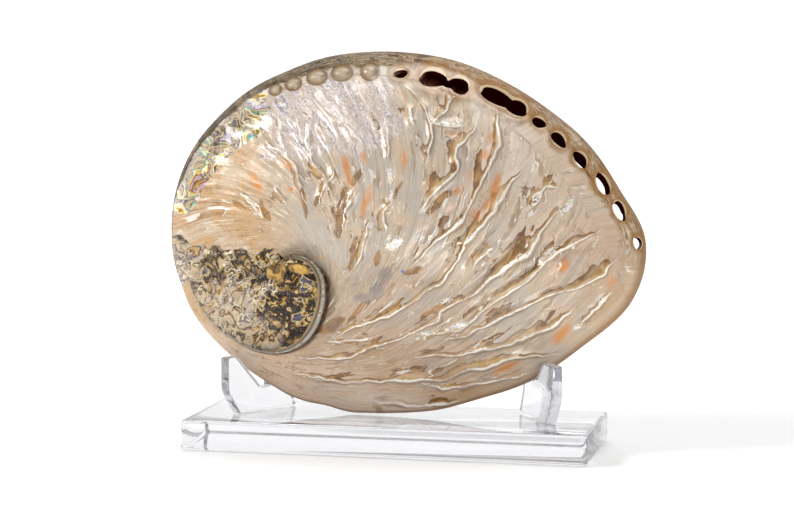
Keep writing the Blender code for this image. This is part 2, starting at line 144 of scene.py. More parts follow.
# %% The shell's place and outline
LEAN = 14.0
APEX_X = -37.0
APEX_Z = 59.2
RIM_FOOT_Y = 1.0
RIM_FOOT_Z = 14.6
APEX_HEIGHT = 42.0
RIM_RADII = (
    54.5, 59.5, 64.5, 70.0, 75.5, 80.5, 84.5, 89.0, 92.5, 97.0, 101.0, 105.5,
    110.5, 115.0, 120.0, 126.0, 130.5, 136.0, 129.5, 111.5, 96.5, 81.5, 71.0, 62.0,
    55.5, 51.0, 46.5, 44.5, 43.0, 41.5, 41.0, 41.5, 42.5, 44.5, 47.5, 51.0)
SUTURE_START = 5.1
GROWTH_PER_TURN = 8.8
COIL_RISE = 5.0
COIL_VALLEY = 6.0
NUCLEUS = 8.0
WALL = 3.5
LIP = 3.0
SHELF_WIDTH = 14.0
SHELF_EDGE = 2.4


def turn_of(angle):
    """The angle in degrees, from 0 at the left and clockwise to 360."""
    return np.degrees(np.mod(angle, 2.0 * np.pi))


def suture_radius(angle):
    """The seam between the coils, a logarithmic spiral: start * growth ** turns."""
    return SUTURE_START * GROWTH_PER_TURN ** (turn_of(angle) / 360.0)


def inner_row_radius(angle):
    """The ring of the mesh that follows the suture, and closes on itself at the left."""
    turn = turn_of(angle)
    back = smooth(325.0, 385.0, np.where(turn < 30.0, turn + 360.0, turn))
    spiral = np.where(turn < 30.0, suture_radius(angle) * GROWTH_PER_TURN, suture_radius(angle))
    return spiral * GROWTH_PER_TURN ** -back


def dome(share, angle):
    """The body's height, from the apex at share 0 to the rim at share 1: height * (1 - share ** p) ** q."""
    turn = turn_of(angle)
    lip = smooth(140.0, 205.0, turn) * (1.0 - smooth(275.0, 335.0, turn))
    swell = 8.0 * smooth(30.0, 110.0, turn) * (1.0 - smooth(190.0, 260.0, turn))
    share = np.clip(share, 0.0, 1.0)
    fall = (1.0 - share ** (2.5 - 0.6 * lip)) ** (0.52 + 0.30 * lip)
    return APEX_HEIGHT * fall + swell * np.sin(np.pi * share ** 0.85) ** 1.3


def coil(radius, angle, rise_share=1.0):
    """The older coil standing proud inside the suture, and the valley along the suture."""
    turn = turn_of(angle)
    edge = suture_radius(angle)
    rise = rise_share * COIL_RISE * smooth(0.0, 110.0, turn) * (1.0 - smooth(270.0, 358.0, turn))
    valley = COIL_VALLEY * smooth(0.0, 120.0, turn) * (1.0 - smooth(262.0, 335.0, turn))
    past = radius - edge
    climb = np.clip(-past / (0.45 * edge), 0.0, 1.0)
    wall = np.sqrt(1.0 - (1.0 - climb) ** 2)
    inside = rise * wall * smooth(0.0, NUCLEUS, radius) - valley * (1.0 - wall)
    outside = -valley * np.exp(-np.clip(past, 0.0, None) / (0.42 * edge + 1.5))
    return np.where(past < 0.0, inside, outside)


def placed(radius, angle, height):
    """A point of the leaning shell from its distance, angle and height over the rim's plane."""
    lean = math.radians(LEAN)
    across = -radius * np.cos(angle)
    along = radius * np.sin(angle) + (APEX_Z - RIM_FOOT_Z) / math.cos(lean)
    y = RIM_FOOT_Y + along * math.sin(lean) - height * math.cos(lean)
    z = RIM_FOOT_Z + along * math.cos(lean) + height * math.sin(lean)
    return np.stack([APEX_X + across, y, z], axis=-1)


def unplaced(points):
    """The distance, angle and height of points of the leaning shell: placed() the other way round."""
    lean = math.radians(LEAN)
    across = points[..., 0] - APEX_X
    back, up = points[..., 1] - RIM_FOOT_Y, points[..., 2] - RIM_FOOT_Z
    along = back * math.sin(lean) + up * math.cos(lean) - (APEX_Z - RIM_FOOT_Z) / math.cos(lean)
    height = up * math.sin(lean) - back * math.cos(lean)
    return np.hypot(across, along), np.arctan2(along, -across), height


# %% [markdown]
# ## Growth lines
# A shell grows at its lip, so every older lip is a smaller, turned copy of the present one. That gives each
# point two coordinates that follow the growth: how long ago the lip was there, in degrees of the coil, and
# which part of the lip it was. Striations are noise that is fine in the first and slow in the second.

# %% Growth coordinates
GROWTH_RATE = math.log(GROWTH_PER_TURN) / 360.0
LIP_FROM = 60.0
LIP_TO = 358.0
LIP_STEP = 0.5
LIP_ANGLES = 721
LEAST_FALL = 0.0004


def view_polar(places):
    """Distance from the apex and degrees clockwise from the left, as seen from the viewpoint."""
    turn = np.degrees(np.mod(np.arctan2(places[..., 1], -places[..., 0]), 2.0 * np.pi))
    return np.hypot(places[..., 0], places[..., 1]), turn


def growth_coordinates(places, inside):
    """The age of the lip at each place, in degrees, and the place's bearing on the present lip.
    The lip's radius over growth ** turns falls along the lip, so a table of it is read backwards."""
    angle = np.linspace(0.0, 2.0 * np.pi, LIP_ANGLES)
    rim_radius, rim_turn = view_polar(seen(placed(around(RIM_RADII, angle), angle, 0.0 * angle)))
    order = np.argsort(rim_turn)
    bearing = np.arange(LIP_FROM, LIP_TO, LIP_STEP)
    lip = np.interp(bearing, rim_turn[order], rim_radius[order])
    level = np.minimum.accumulate(lip * np.exp(-GROWTH_RATE * bearing))
    level = level - LEAST_FALL * (bearing - LIP_FROM)
    radius, turn = view_polar(places)
    wanted = radius * np.where(inside, GROWTH_PER_TURN, 1.0) * np.exp(-GROWTH_RATE * turn)
    on_lip = np.interp(wanted, level[::-1], bearing[::-1])
    return on_lip - turn + np.where(inside, 360.0, 0.0), on_lip


# %% [markdown]
# ## Folds
# The polished nacre is thrown into folds, and each is a narrow crest with a smooth trough on its older
# side. A fold is a line of a few points. Every point of the surface measures how far it is from the nearest
# line, and on which side.

# %% Where the folds run
# Each fold: its height, then points from its outer to its inner end, right and up from the apex
FOLDS = (
    (1, (-17.6, 36.4), (-10, 30), (-7.6, 25.2)),
    (0.8, (-8, 56.4), (-1.2, 51.2), (2, 48.4)),
    (1.2, (-3.6, 66.4), (-2, 57.2), (0.8, 50), (5.2, 44), (6.8, 30)),
    (0.9, (3.2, 66.4), (6, 57.2), (11.2, 48)),
    (1.6, (7.6, 65.6), (8.8, 54.8), (11.2, 48.4), (16, 41.6), (20.4, 29.6)),
    (1.5, (9.6, 78), (14, 71.2), (25.2, 61.2), (32.8, 54.8)),
    (0.8, (11.2, 68), (16, 59.2), (19.6, 54.8)),
    (1.2, (19.6, 46.4), (19.2, 42), (16.8, 39.2), (12.8, 29.6)),
    (1.4, (28.8, 36.4), (23.6, 26.4), (23.2, 19.6)),
    (0.8, (-5.2, 37.6), (-3.2, 34.8), (0, 30)),
    (1.4, (35.2, 24), (32.8, 21.6), (29.6, 10.8), (25.6, 2)),
    (1.2, (44, 30.8), (40.4, 27.6), (39.6, 24), (40.8, 19.2)),
    (1.1, (39.6, 65.6), (40.8, 57.2), (41.2, 51.6), (40, 47.2)),
    (1.3, (47.2, 79.6), (54, 71.2), (58.4, 62.4), (59.2, 57.2), (54.8, 45.2)),
    (0.7, (49.2, 69.6), (48.8, 65.6), (51.2, 60.4)),
    (1.4, (70, 74.4), (65.2, 70.4), (64.8, 68), (58.8, 62.4)),
    (0.9, (71.6, 62.4), (66.8, 62), (58.8, 62)),
    (1.7, (77.2, 62), (69.2, 54), (68.4, 49.2), (68.8, 44), (61.2, 36.4), (52.4, 26.4)),
    (1.8, (84.8, 69.2), (86, 53.6), (81.6, 47.2), (77.2, 36), (70.8, 24), (57.2, 13.6), (50, 4.4)),
    (2, (101.2, 48), (92, 41.6), (82.4, 25.2), (71.2, 14.8), (70.8, 11.6), (62.4, 0), (50.8, -9.2),
     (34.4, -16.4), (16, -23.6)),
    (1, (109.2, 37.2), (104, 38), (99.2, 34.4), (98, 28)),
    (2, (115.6, 32), (107.6, 27.2), (97.2, 10.8), (87.2, 4), (78.8, -4), (62, -12.8), (60.4, -16),
     (43.2, -24.8), (25.6, -31.2), (3.6, -31.2)),
    (2, (128.8, 22), (117.6, 16), (104, 7.2), (95.2, -1.6), (82.4, -10), (69.2, -20.8), (52.8, -21.6)),
    (0.9, (108.8, 13.6), (104, 11.6), (100.8, 7.2)),
    (1.7, (133.2, 8.8), (127.6, 2), (112, -4.8), (100.8, -8.4), (86, -15.6), (71.6, -22.4), (60, -24.8)),
    (1.3, (131.6, -5.6), (127.2, -10), (118.4, -18)),
    (1.5, (116.4, -12), (106.8, -18.8), (88, -25.6), (70, -29.6), (50, -31.6)),
    (1.5, (110.4, -28.8), (90.4, -31.2), (77.2, -35.6), (62.8, -39.6), (46.8, -40.4), (23.6, -40.4),
     (7.2, -37.2), (-2, -36)),
    (1.3, (99.6, -38), (82.4, -41.2), (70, -43.6), (52, -42)),
    (1, (34.8, -23.6), (26.4, -24.8), (15.6, -24.4)),
    (1, (70, -49.2), (60, -49.6), (53.2, -50.8), (46.8, -50), (32, -48)),
    (1.2, (84.4, 14.4), (80, 11.6), (74, 4.4)),
    (0.6, (-17.6, 36.4), (-13, 30.4), (-7.6, 25.2)),
    (0.5, (-8, 56.4), (-2, 52), (2, 48.4)),
    (0.8, (49.2, 69.6), (50.2, 65.4), (51.2, 60.4)),
    (0.7, (58.8, 62.2), (65, 63.4), (71.6, 62.6)),
    (0.7, (104, 38.2), (101.4, 33), (98, 28.2)),
    (0.6, (108.8, 13.8), (104.4, 10.2), (100.8, 7.4)),
    (0.7, (84.4, 14.6), (79, 10.6), (74, 4.4)),
    (0.8, (131.2, -5.4), (125.4, -12), (118.4, -17.8)),
    (0.6, (99.6, -37.8), (85.6, -40.4), (70, -43.4), (52, -41.8)),
    (0.6, (32, -47.8), (46, -49.4), (53.2, -50.6), (70, -49)),
    (0.5, (15.6, -24.2), (25, -25), (34.8, -23.4)))

WARP = 1.1
WARP_SCALE = 9.0
NEAR = 14.0


def warped(places):
    """Places shifted by soft noise, so that straight stretches of a line waver a little."""
    u, v = places[..., 0] / WARP_SCALE, places[..., 1] / WARP_SCALE
    shift = np.stack([wave_noise(u, v, 3), wave_noise(u, v, 4)], axis=-1)
    fine = np.stack([wave_noise(3.3 * u, 3.3 * v, 5), wave_noise(3.3 * u, 3.3 * v, 6)], axis=-1)
    return places + WARP * (shift + 0.5 * fine)


def side_of_line(places, line):
    """The signed distance to a line of points, positive on its older side, and the share of it that is
    passed."""
    lengths = np.hypot(*np.diff(line, axis=0).T)
    starts = np.concatenate([[0.0], np.cumsum(lengths)])
    nearest = np.full(places.shape[:-1], 1e9)
    side, gone = np.zeros_like(nearest), np.zeros_like(nearest)
    for a, b, length, start in zip(line[:-1], line[1:], lengths, starts):
        ahead = (b - a) / length
        along = np.clip((places - a) @ ahead, 0.0, length)
        offset = places - a - along[..., None] * ahead
        distance = np.hypot(offset[..., 0], offset[..., 1])
        closer = distance < nearest
        turned = offset[..., 0] * ahead[1] - offset[..., 1] * ahead[0]
        side = np.where(closer, np.where(turned < 0.0, -distance, distance), side)
        gone = np.where(closer, (start + along) / starts[-1], gone)
        nearest = np.where(closer, distance, nearest)
    return side, gone


# %% The folds' relief and the marks that follow them
CREST_NEW_SIDE = 1.25
CREST_OLD_SIDE = 2.1
TROUGH_AT = 3.5
TROUGH_WIDTH = 2.0
TROUGH_DEPTH = 0.5
FOOT_AT = -2.6
FOOT_WIDTH = 1.5
FOOT_DEPTH = 0.3
FOLD_GROWTH = 0.95


def fold_fields(places):
    """Three fields at flat places: the folds' height, how near the nearest fold is, and that fold's
    strength.
    Height is a crest that is steep on its newer side, less a trough on one side and a foot on the other.
    Nearness is a distance over the fold's own width, positive on its older side."""
    wavy = warped(places)
    height = np.zeros(len(places))
    signed, power = np.full(len(places), 9.0), np.zeros(len(places))
    for strength, *points in FOLDS:
        line = np.array(points)
        low, high = line.min(axis=0) - NEAR, line.max(axis=0) + NEAR
        near = np.flatnonzero(np.all((wavy > low) & (wavy < high), axis=1))
        side, gone = side_of_line(wavy[near], line)
        fade = smooth(-0.04, 0.16, gone) * (1.0 - smooth(0.8, 1.03, gone))
        fade *= 0.74 + 0.42 * wave_noise(gone * 11.0 + strength * 31.0, strength * 17.0 + 0.0 * gone, 8)
        slope = np.where(side > 0.0, CREST_OLD_SIDE, CREST_NEW_SIDE)
        width = 0.75 + 0.25 * strength
        relief = np.exp(-(side / (slope * width)) ** 2)
        relief -= TROUGH_DEPTH * np.exp(-((side - TROUGH_AT * width) / (TROUGH_WIDTH * width)) ** 2)
        relief -= FOOT_DEPTH * np.exp(-((side - FOOT_AT * width) / (FOOT_WIDTH * width)) ** 2)
        height[near] += FOLD_GROWTH * strength * fade * relief
        share = np.clip(side / np.clip(fade * width, 0.12, None), -9.0, 9.0)
        closer = np.abs(share) < np.abs(signed[near])
        signed[near] = np.where(closer, share, signed[near])
        power[near] = np.where(closer, strength * fade, power[near])
    return height, signed, power


# %% [markdown]
# ## Pores and pearls
# The animal breathed through a row of pores near the edge. As it grew it sealed the oldest ones with nacre,
# and on a polished shell those seals stand up as pearls. The open ones are cut through the wall.

# %% Where the pores and pearls are
# Open pores: middle, half length, half width, and the slope of the length in degrees
PORES = (
    (46.4, 82.8, 2.6, 2.2, 5), (59.4, 81, 5, 4.3, -10), (69.6, 78.2, 3.9, 4, -35), (65, 79, 3.4, 1.9, -12),
    (85.2, 73.4, 7.6, 3.5, -27), (92.8, 69.4, 4.6, 3.6, -25), (101.6, 63.2, 2.8, 2.4, -45),
    (109.6, 56.6, 3.5, 2.6, -62), (118.2, 48.6, 3.4, 2.7, -60), (127.2, 38.8, 4.4, 2.8, -66),
    (133.8, 28.2, 4.1, 2.5, -72), (141.2, 15, 2.6, 1.9, -75))
PORE_SIDES = 40
PORE_FLARE = 1.12
PORE_DEPTH = 10.5
PORE_COLLAR = 0.8
# Pearls: middle, half length, half width and the slope of the length in degrees
PEARLS = (
    (34, 83.6, 3.5, 3.3, 0), (22.8, 83, 3.9, 3, 8), (12.8, 81.4, 3.8, 2.9, 12), (3.4, 78.6, 3.1, 2.4, 20),
    (-3.8, 76.2, 2.4, 2, 25))
PEARL_STANDS = 0.5


def oval_ratio(places, ovals):
    """How far each place is from the nearest oval's middle, as a share of the oval's radius in that
    direction."""
    ratio = np.full(places.shape[:-1], 9.0)
    for x, y, half_length, half_width, slope in ovals:
        tilt = math.radians(slope)
        offset = places - np.array((x, y))
        along = offset[..., 0] * math.cos(tilt) + offset[..., 1] * math.sin(tilt)
        across = offset[..., 1] * math.cos(tilt) - offset[..., 0] * math.sin(tilt)
        ratio = np.minimum(ratio, np.hypot(along / half_length, across / half_width))
    return ratio


def collar_relief(places):
    """A raised collar round each open pore, highest just outside its edge."""
    ratio = oval_ratio(places, PORES)
    return PORE_COLLAR * np.exp(-((ratio - 1.5) / 0.45) ** 2)


# %% [markdown]
# ## Small relief
# Three more layers make the skin lively: weak waves along the growth lines, knobbly lumps where the polish
# has cut into the dark old coil, and big pillows in the bright patch at the upper left. Ridges follow the
# edge too.

# %% Lumps and waves
# Each lump: middle, half length, half width, slope of the length in degrees, and height
LUMPS = (
    (-11.6, 66.2, 7.2, 3.6, 18, 1.5), (-20.4, 59.8, 3.6, 2.6, 40, 1), (-4, 71.4, 3.6, 1.8, 20, 0.8),
    (-27.4, 47.4, 3.4, 5, -20, 1), (-33.6, 46.4, 2.6, 5.4, -28, 1.1), (-33.6, 38.6, 4.4, 2.8, -8, 1.3),
    (-35.4, 32.6, 4.4, 2.6, -40, 0.9), (21, 71, 1.6, 3.2, 15, -0.7), (-36, 0, 4.4, 7.4, 12, 1),
    (43.2, 15.8, 3.2, 2.6, 35, 0.9), (112, 29, 3.4, 2.4, 55, 0.6))


def lump_relief(places):
    """Soft ovals that stand out, or dip where their height is negative."""
    total = np.zeros(places.shape[:-1])
    for *oval, height in LUMPS:
        total += height * np.exp(-(oval_ratio(places, [oval]) ** 3))
    return total


def inside_suture(radius, angle):
    return radius < suture_radius(angle)


def mottle_zone(places, radius, angle):
    """1 on the dark mottled old coil and just above it at the left, 0 on the pale body."""
    x, y = places[..., 0], places[..., 1]
    ragged = 4.0 * wave_noise(x / 6.0, y / 6.0, 11) + 2.6 * wave_noise(x / 2.2, y / 2.2, 12)
    turn = turn_of(angle)
    old = smooth(-0.6, 1.0, suture_radius(angle) - radius) * smooth(30.0, 80.0, turn)
    above = smooth(3.0, -3.0, y - 9.0 + 0.10 * x - ragged) * smooth(9.0, 2.0, x - 0.6 * ragged)
    above = np.where((turn < 130.0) | (radius < suture_radius(angle)), above, 0.0)
    return np.clip(np.maximum(old, above), 0.0, 1.0)


def lustre_zone(places):
    """1 in the bright cracked patch along the upper left edge."""
    radius, turn = view_polar(places)
    across = smooth(44.0, 53.0, radius - 0.30 * (turn - 45.0))
    across = across * (1.0 - smooth(66.0, 76.0, radius - 0.28 * (turn - 45.0)))
    ragged = 6.0 * wave_noise(places[..., 0] / 6.0, places[..., 1] / 6.0, 13)
    return across * smooth(28.0, 42.0, turn + ragged) * (1.0 - smooth(78.0, 92.0, turn + ragged))


def silver_zone(places):
    """1 in the crinkled silvery patch under the pearls."""
    x, y = places[..., 0], places[..., 1]
    ragged = 5.0 * wave_noise(x / 7.0, y / 7.0, 14)
    across = smooth(-11.0, -3.0, x - 0.2 * (y - 60.0) + ragged)
    across = across * smooth(54.0, 40.0, x + 0.4 * (y - 60.0) - ragged)
    return across * smooth(46.0, 60.0, y + ragged) * smooth(82.0, 78.0, y)


def skin_relief(places, radius, angle, share):
    """Weak waves that are long along the growth lines, and knobbles on the mottled coil and the bright
    patch."""
    age, bearing = growth_coordinates(places, inside_suture(radius, angle))
    waves = 0.26 * wave_noise(age / 4.2, bearing / 26.0, 21)
    waves = waves + 0.14 * wave_noise(age / 1.9, bearing / 16.0, 22)
    x, y = places[..., 0], places[..., 1]
    knobs = 0.55 * wave_noise(x / 3.4, y / 3.4, 23) + 0.35 * wave_noise(x / 1.7, y / 1.7, 24)
    dark, bright, silver = mottle_zone(places, radius, angle), lustre_zone(places), silver_zone(places)
    crinkles = 0.5 * wave_noise(age / 1.3, bearing / 9.0, 25)
    crinkles = crinkles + 0.3 * wave_noise(age / 0.7, bearing / 5.0, 26)
    calm = 1.0 - smooth(0.93, 1.0, share)
    knobbly = knobs * (0.55 * dark + 0.8 * bright) + crinkles * silver
    return calm * (waves * (1.0 - dark) + knobbly + lump_relief(places))


# %% [markdown]
# ## The fine mesh
# The outer face is a grid: columns sweep round the apex as the folds do, and rows close in on the suture.
# The lip, the shelf and the inner face carry on from it, so the shell is one closed skin. Everything is
# computed as whole arrays.

# %% Grid of the outer face
COLUMNS = 560
COIL_ROWS = 26
BODY_ROWS = 100
INNER_ROWS = 16
INNER_COIL_ROWS = 6
INNER_REACH = 0.985
FOLD_SWEEP = 42.0
WIDE_SIDE = 0.6
FINE_ANGLES = 1441


def column_angles(count):
    """Angles round the apex, closer together where the rim is far away, so that the mesh is even there."""
    fine = np.linspace(0.0, 2.0 * np.pi, FINE_ANGLES)
    weight = around(RIM_RADII, fine) ** WIDE_SIDE
    gone = np.concatenate([[0.0], np.cumsum(0.5 * (weight[1:] + weight[:-1]))])
    return np.interp(np.arange(count) / count, gone / gone[-1], fine)


def mesh_grid(coil_rows, body_rows, columns):
    """Angles and shares of the outer face, its rows closing in on the suture and sweeping with the folds."""
    column = column_angles(columns)
    inward = np.linspace(0.0, 1.0, coil_rows + 1)[1:, None]
    outward = np.linspace(0.0, 1.0, body_rows + 1)[1:, None]
    outward = 0.45 * outward + 0.55 * 0.5 * (1.0 - np.cos(np.pi * outward))
    sweep = math.radians(FOLD_SWEEP)
    angle = np.concatenate([column + sweep + 0.0 * inward, column + sweep * (1.0 - outward) ** 1.4])
    ring, rim = inner_row_radius(angle), around(RIM_RADII, angle)
    radius = np.concatenate([
        ring[:coil_rows] * inward ** 0.8,
        ring[coil_rows:] + (rim - ring)[coil_rows:] * outward])
    return angle, radius / rim


def outer_height(share, angle):
    """The outer face with its coil, before any fold."""
    radius = share * around(RIM_RADII, angle)
    return dome(share, angle) + coil(radius, angle) * (1.0 - smooth(0.9, 1.0, share))


def outer_face(angle, share):
    """Rows of the outer face, with everything that stands out from the dome."""
    radius = share * around(RIM_RADII, angle)
    height = outer_height(share, angle)
    places = seen(placed(radius, angle, height))
    folds = fold_fields(places.reshape(-1, 2))[0].reshape(height.shape)
    calm = 1.0 - smooth(0.93, 1.0, share)
    height = height + calm * (folds + collar_relief(places)) + skin_relief(places, radius, angle, share)
    return placed(radius, angle, height)


# %% Lip, shelf and inner face
def shelf_width(angle):
    """The shelf runs along the coiled side of the mouth and fades out at the thin lip."""
    turn = turn_of(angle)
    return SHELF_WIDTH * (smooth(290.0, 345.0, turn) + (1.0 - smooth(120.0, 176.0, turn)))


def inner_height(share, angle, rim):
    """The inner face, nested in the dome and kept under the valley of the suture."""
    nested = dome(share, angle) * (1.0 - WALL / APEX_HEIGHT)
    hollow = coil(share * rim, angle, 0.25) * (1.0 - smooth(0.8, 0.97, share))
    return nested + np.minimum(hollow, 0.25 * COIL_RISE) - 0.6 * smooth(1.0, 0.8, share)


def mouth_rows(angle, rim):
    """Rows from the rim round the lip, along the shelf's back, round its edge and along its front."""
    width = shelf_width(angle)
    lift = width / SHELF_WIDTH
    outline = (
        (0.15 * LIP, -0.45 + 0.0 * lift),
        (0.45 * LIP, -0.7 + 0.0 * lift),
        (0.75 * LIP, -0.68 + 0.0 * lift),
        (0.95 * LIP, -0.5 + 0.0 * lift),
        (LIP + 0.25 * width, -0.2 + 0.4 * lift),
        (LIP + 0.5 * width, 0.1 + 0.6 * lift),
        (LIP + 0.06 + 0.8 * width, 0.3 + 0.7 * lift),
        (LIP + 0.12 + 0.95 * width, 0.5 + 0.8 * lift),
        (LIP + 0.2 + width, 0.9 + (0.3 + 0.5 * SHELF_EDGE) * lift),
        (LIP + 0.3 + 0.95 * width, 1.3 + (0.4 + SHELF_EDGE) * lift),
        (LIP + 0.35 + 0.7 * width, 1.5 + (0.7 + SHELF_EDGE) * lift),
        (LIP + 0.4 + 0.45 * width, 1.7 + (0.8 + SHELF_EDGE) * lift))
    return [placed(rim - inward, angle, height + 0.0 * angle) for inward, height in outline]


# %% Put the rows into a mesh
def turned_outwards(work, mesh):
    """The mesh, filled with the faces in work, which all look outwards."""
    bmesh.ops.recalc_face_normals(work, faces=work.faces)
    work.to_mesh(mesh)
    work.free()
    return mesh


def shaded(mesh, sharpest):
    """Smooth shading, with every edge that turns by more degrees than the sharpest smooth one left sharp."""
    mesh.shade_smooth()
    mesh.set_sharp_from_angle(angle=math.radians(sharpest))
    return mesh


def applied(piece):
    """The piece with its modifiers turned into its own mesh."""
    bpy.context.view_layer.update()
    piece.data = bpy.data.meshes.new_from_object(piece.evaluated_get(bpy.context.evaluated_depsgraph_get()))
    piece.modifiers.clear()
    return piece


def grid_mesh(name, points, row_count, columns):
    """A closed skin: a first point, rows of points round it, and a last point, as quads and end
    triangles."""
    here = np.arange(row_count * columns).reshape(row_count, columns) + 1
    after = np.roll(here, -1, axis=1)
    last = row_count * columns + 1
    quads = np.stack([here[:-1], here[1:], after[1:], after[:-1]], axis=-1).reshape(-1, 4)
    first_cap = np.stack([np.zeros(columns, int), here[0], after[0]], axis=-1)
    last_cap = np.stack([np.full(columns, last), after[-1], here[-1]], axis=-1)
    mesh = bpy.data.meshes.new(name)
    mesh.from_pydata((points * MM).tolist(), [], first_cap.tolist() + quads.tolist() + last_cap.tolist())
    work = bmesh.new()
    work.from_mesh(mesh)
    return turned_outwards(work, mesh)


def new_piece(mesh, finish=None):
    piece = bpy.data.objects.new(mesh.name, mesh)
    if finish is not None:
        mesh.materials.append(finish)
    bpy.context.scene.collection.objects.link(piece)
    return piece


def shell_skin():
    angle, share = mesh_grid(COIL_ROWS, BODY_ROWS, COLUMNS)
    rim_angle = angle[-1]
    rim = around(RIM_RADII, rim_angle)
    rows = list(outer_face(angle, share)) + mouth_rows(rim_angle, rim)
    inner_angle, inner_share = mesh_grid(INNER_COIL_ROWS, INNER_ROWS, COLUMNS)
    inner_share = inner_share * INNER_REACH
    inner_rim = around(RIM_RADII, inner_angle) - WALL
    inner_rise = inner_height(inner_share, inner_angle, inner_rim)
    rows += list(placed(inner_share * inner_rim, inner_angle, inner_rise)[::-1])
    zero = np.zeros(1)
    top = placed(zero, zero, outer_height(zero, zero))
    below = placed(zero, zero, inner_height(zero, zero, 0.0))
    return grid_mesh("abalone_shell", np.concatenate([top, *rows, below]), len(rows), COLUMNS)


shell = new_piece(shell_skin())
print("shell skin has", len(shell.data.polygons), "faces before the pores are cut")

# %% [markdown]
# ## Cutting the pores and setting the pearls
# Each pore is a flared plug along the line in which the animal's breath left, and each pearl a flattened
# ball. One Boolean joins all the pearls and another cuts all the pores, and both are applied so that
# nothing is left over.

# %% Plugs and balls
SEARCH_ROWS = (20, 120)
SEARCH_COLUMNS = 480
PLUG_ABOVE = 7.0
PLUG_LEAN = 0.35
PEARL_RINGS = 14
PEARL_SIDES = 28
PEARL_RISE = 0.8
PEARL_DEPTH = 0.75


def surface_point(place):
    """The point of the smooth outer face that is seen nearest to a place, and the face's direction there."""
    angle, share = mesh_grid(*SEARCH_ROWS, SEARCH_COLUMNS)
    points = placed(share * around(RIM_RADII, angle), angle, outer_height(share, angle))
    distance = np.hypot(*np.moveaxis(seen(points) - np.array(place), -1, 0))
    row, column = np.unravel_index(np.argmin(distance), distance.shape)
    row = min(row, len(points) - 2)
    around_edge = points[row, (column + 1) % SEARCH_COLUMNS] - points[row, column - 1]
    outwards = points[row + 1, column] - points[row - 1, column]
    normal = np.cross(around_edge, outwards)
    normal *= np.sign(normal @ view_axes()[2]) / np.linalg.norm(normal)
    right, up, _ = view_axes()
    spot = seen(points[row, column][None])[0]
    return points[row, column] + right * (place[0] - spot[0]) + up * (place[1] - spot[1]), normal


def pore_plug(number, pore):
    """A flared oval tube, its ring radius growing towards the outside."""
    *middle, half_length, half_width, slope = pore
    right, up, towards = view_axes()
    centre, normal = surface_point(middle)
    axis = towards + PLUG_LEAN * normal
    axis /= np.linalg.norm(axis)
    tilt = math.radians(slope)
    turn = np.arange(PORE_SIDES) * 2.0 * np.pi / PORE_SIDES
    wobble = 1.0 + 0.07 * np.sin(2.0 * turn + number) + 0.06 * np.sin(3.0 * turn + 2.0 * number)
    ring = np.outer(wobble * np.cos(turn), right * math.cos(tilt) + up * math.sin(tilt)) * half_length
    ring += np.outer(wobble * np.sin(turn), up * math.cos(tilt) - right * math.sin(tilt)) * half_width
    rings = [centre + axis * depth + ring * grow for depth, grow in (
        (PLUG_ABOVE, PORE_FLARE + 0.1), (0.6, PORE_FLARE), (-0.6, 1.0), (-PORE_DEPTH, 0.96))]
    points = np.concatenate([(centre + axis * PLUG_ABOVE)[None], *rings, (centre - axis * PORE_DEPTH)[None]])
    return new_piece(grid_mesh(f"pore_{number}", points, len(rings), PORE_SIDES))


def pearl_ball(number, pearl):
    """A flattened ball set half into the wall: a sphere stretched along the row and pressed down."""
    *middle, half_length, half_width, slope = pearl
    centre, normal = surface_point(middle)
    right, up, _ = view_axes()
    tilt = math.radians(slope)
    long_side = right * math.cos(tilt) + up * math.sin(tilt)
    long_side -= normal * (long_side @ normal)
    long_side /= np.linalg.norm(long_side)
    wide_side = np.cross(normal, long_side)
    rise = np.linspace(0.5 * np.pi, -0.5 * np.pi, PEARL_RINGS + 2)[:, None]
    turn = np.arange(PEARL_SIDES)[None, :] * 2.0 * np.pi / PEARL_SIDES
    ball = (np.cos(rise) * np.cos(turn))[..., None] * long_side * half_length
    ball = ball + (np.cos(rise) * np.sin(turn))[..., None] * wide_side * half_width
    ball = ball + (np.sin(rise) + 0.0 * turn)[..., None] * normal * PEARL_RISE * half_width
    ball = ball + centre - normal * half_width * (PEARL_DEPTH - PEARL_STANDS)
    points = np.concatenate([ball[0, :1], ball[1:-1].reshape(-1, 3), ball[-1, :1]])
    return new_piece(grid_mesh(f"pearl_{number}", points, PEARL_RINGS, PEARL_SIDES))


def cut(piece, tools, operation):
    """One Boolean with a group of closed tools, applied, with the tools removed."""
    group = bpy.data.collections.new("tools")
    bpy.context.scene.collection.children.link(group)
    for tool in tools:
        group.objects.link(tool)
    modifier = piece.modifiers.new("cut", "BOOLEAN")
    modifier.operation = operation
    modifier.solver = "MANIFOLD"
    modifier.operand_type = "COLLECTION"
    modifier.collection = group
    applied(piece)
    for tool in tools:
        bpy.data.objects.remove(tool)
    bpy.data.collections.remove(group)


cut(shell, [pearl_ball(number, pearl) for number, pearl in enumerate(PEARLS)], "UNION")
cut(shell, [pore_plug(number, pore) for number, pore in enumerate(PORES)], "DIFFERENCE")
shell.data.name = "abalone_shell"
print("shell has", len(shell.data.vertices), "points after the pores are cut")

# %% [markdown]
# ## Painting by place
# The finish needs to know what each point of the shell is: crest or trough, old coil or body, inside or
# outside. These are worked out once for every point and stored with the mesh, three numbers to an
# attribute.

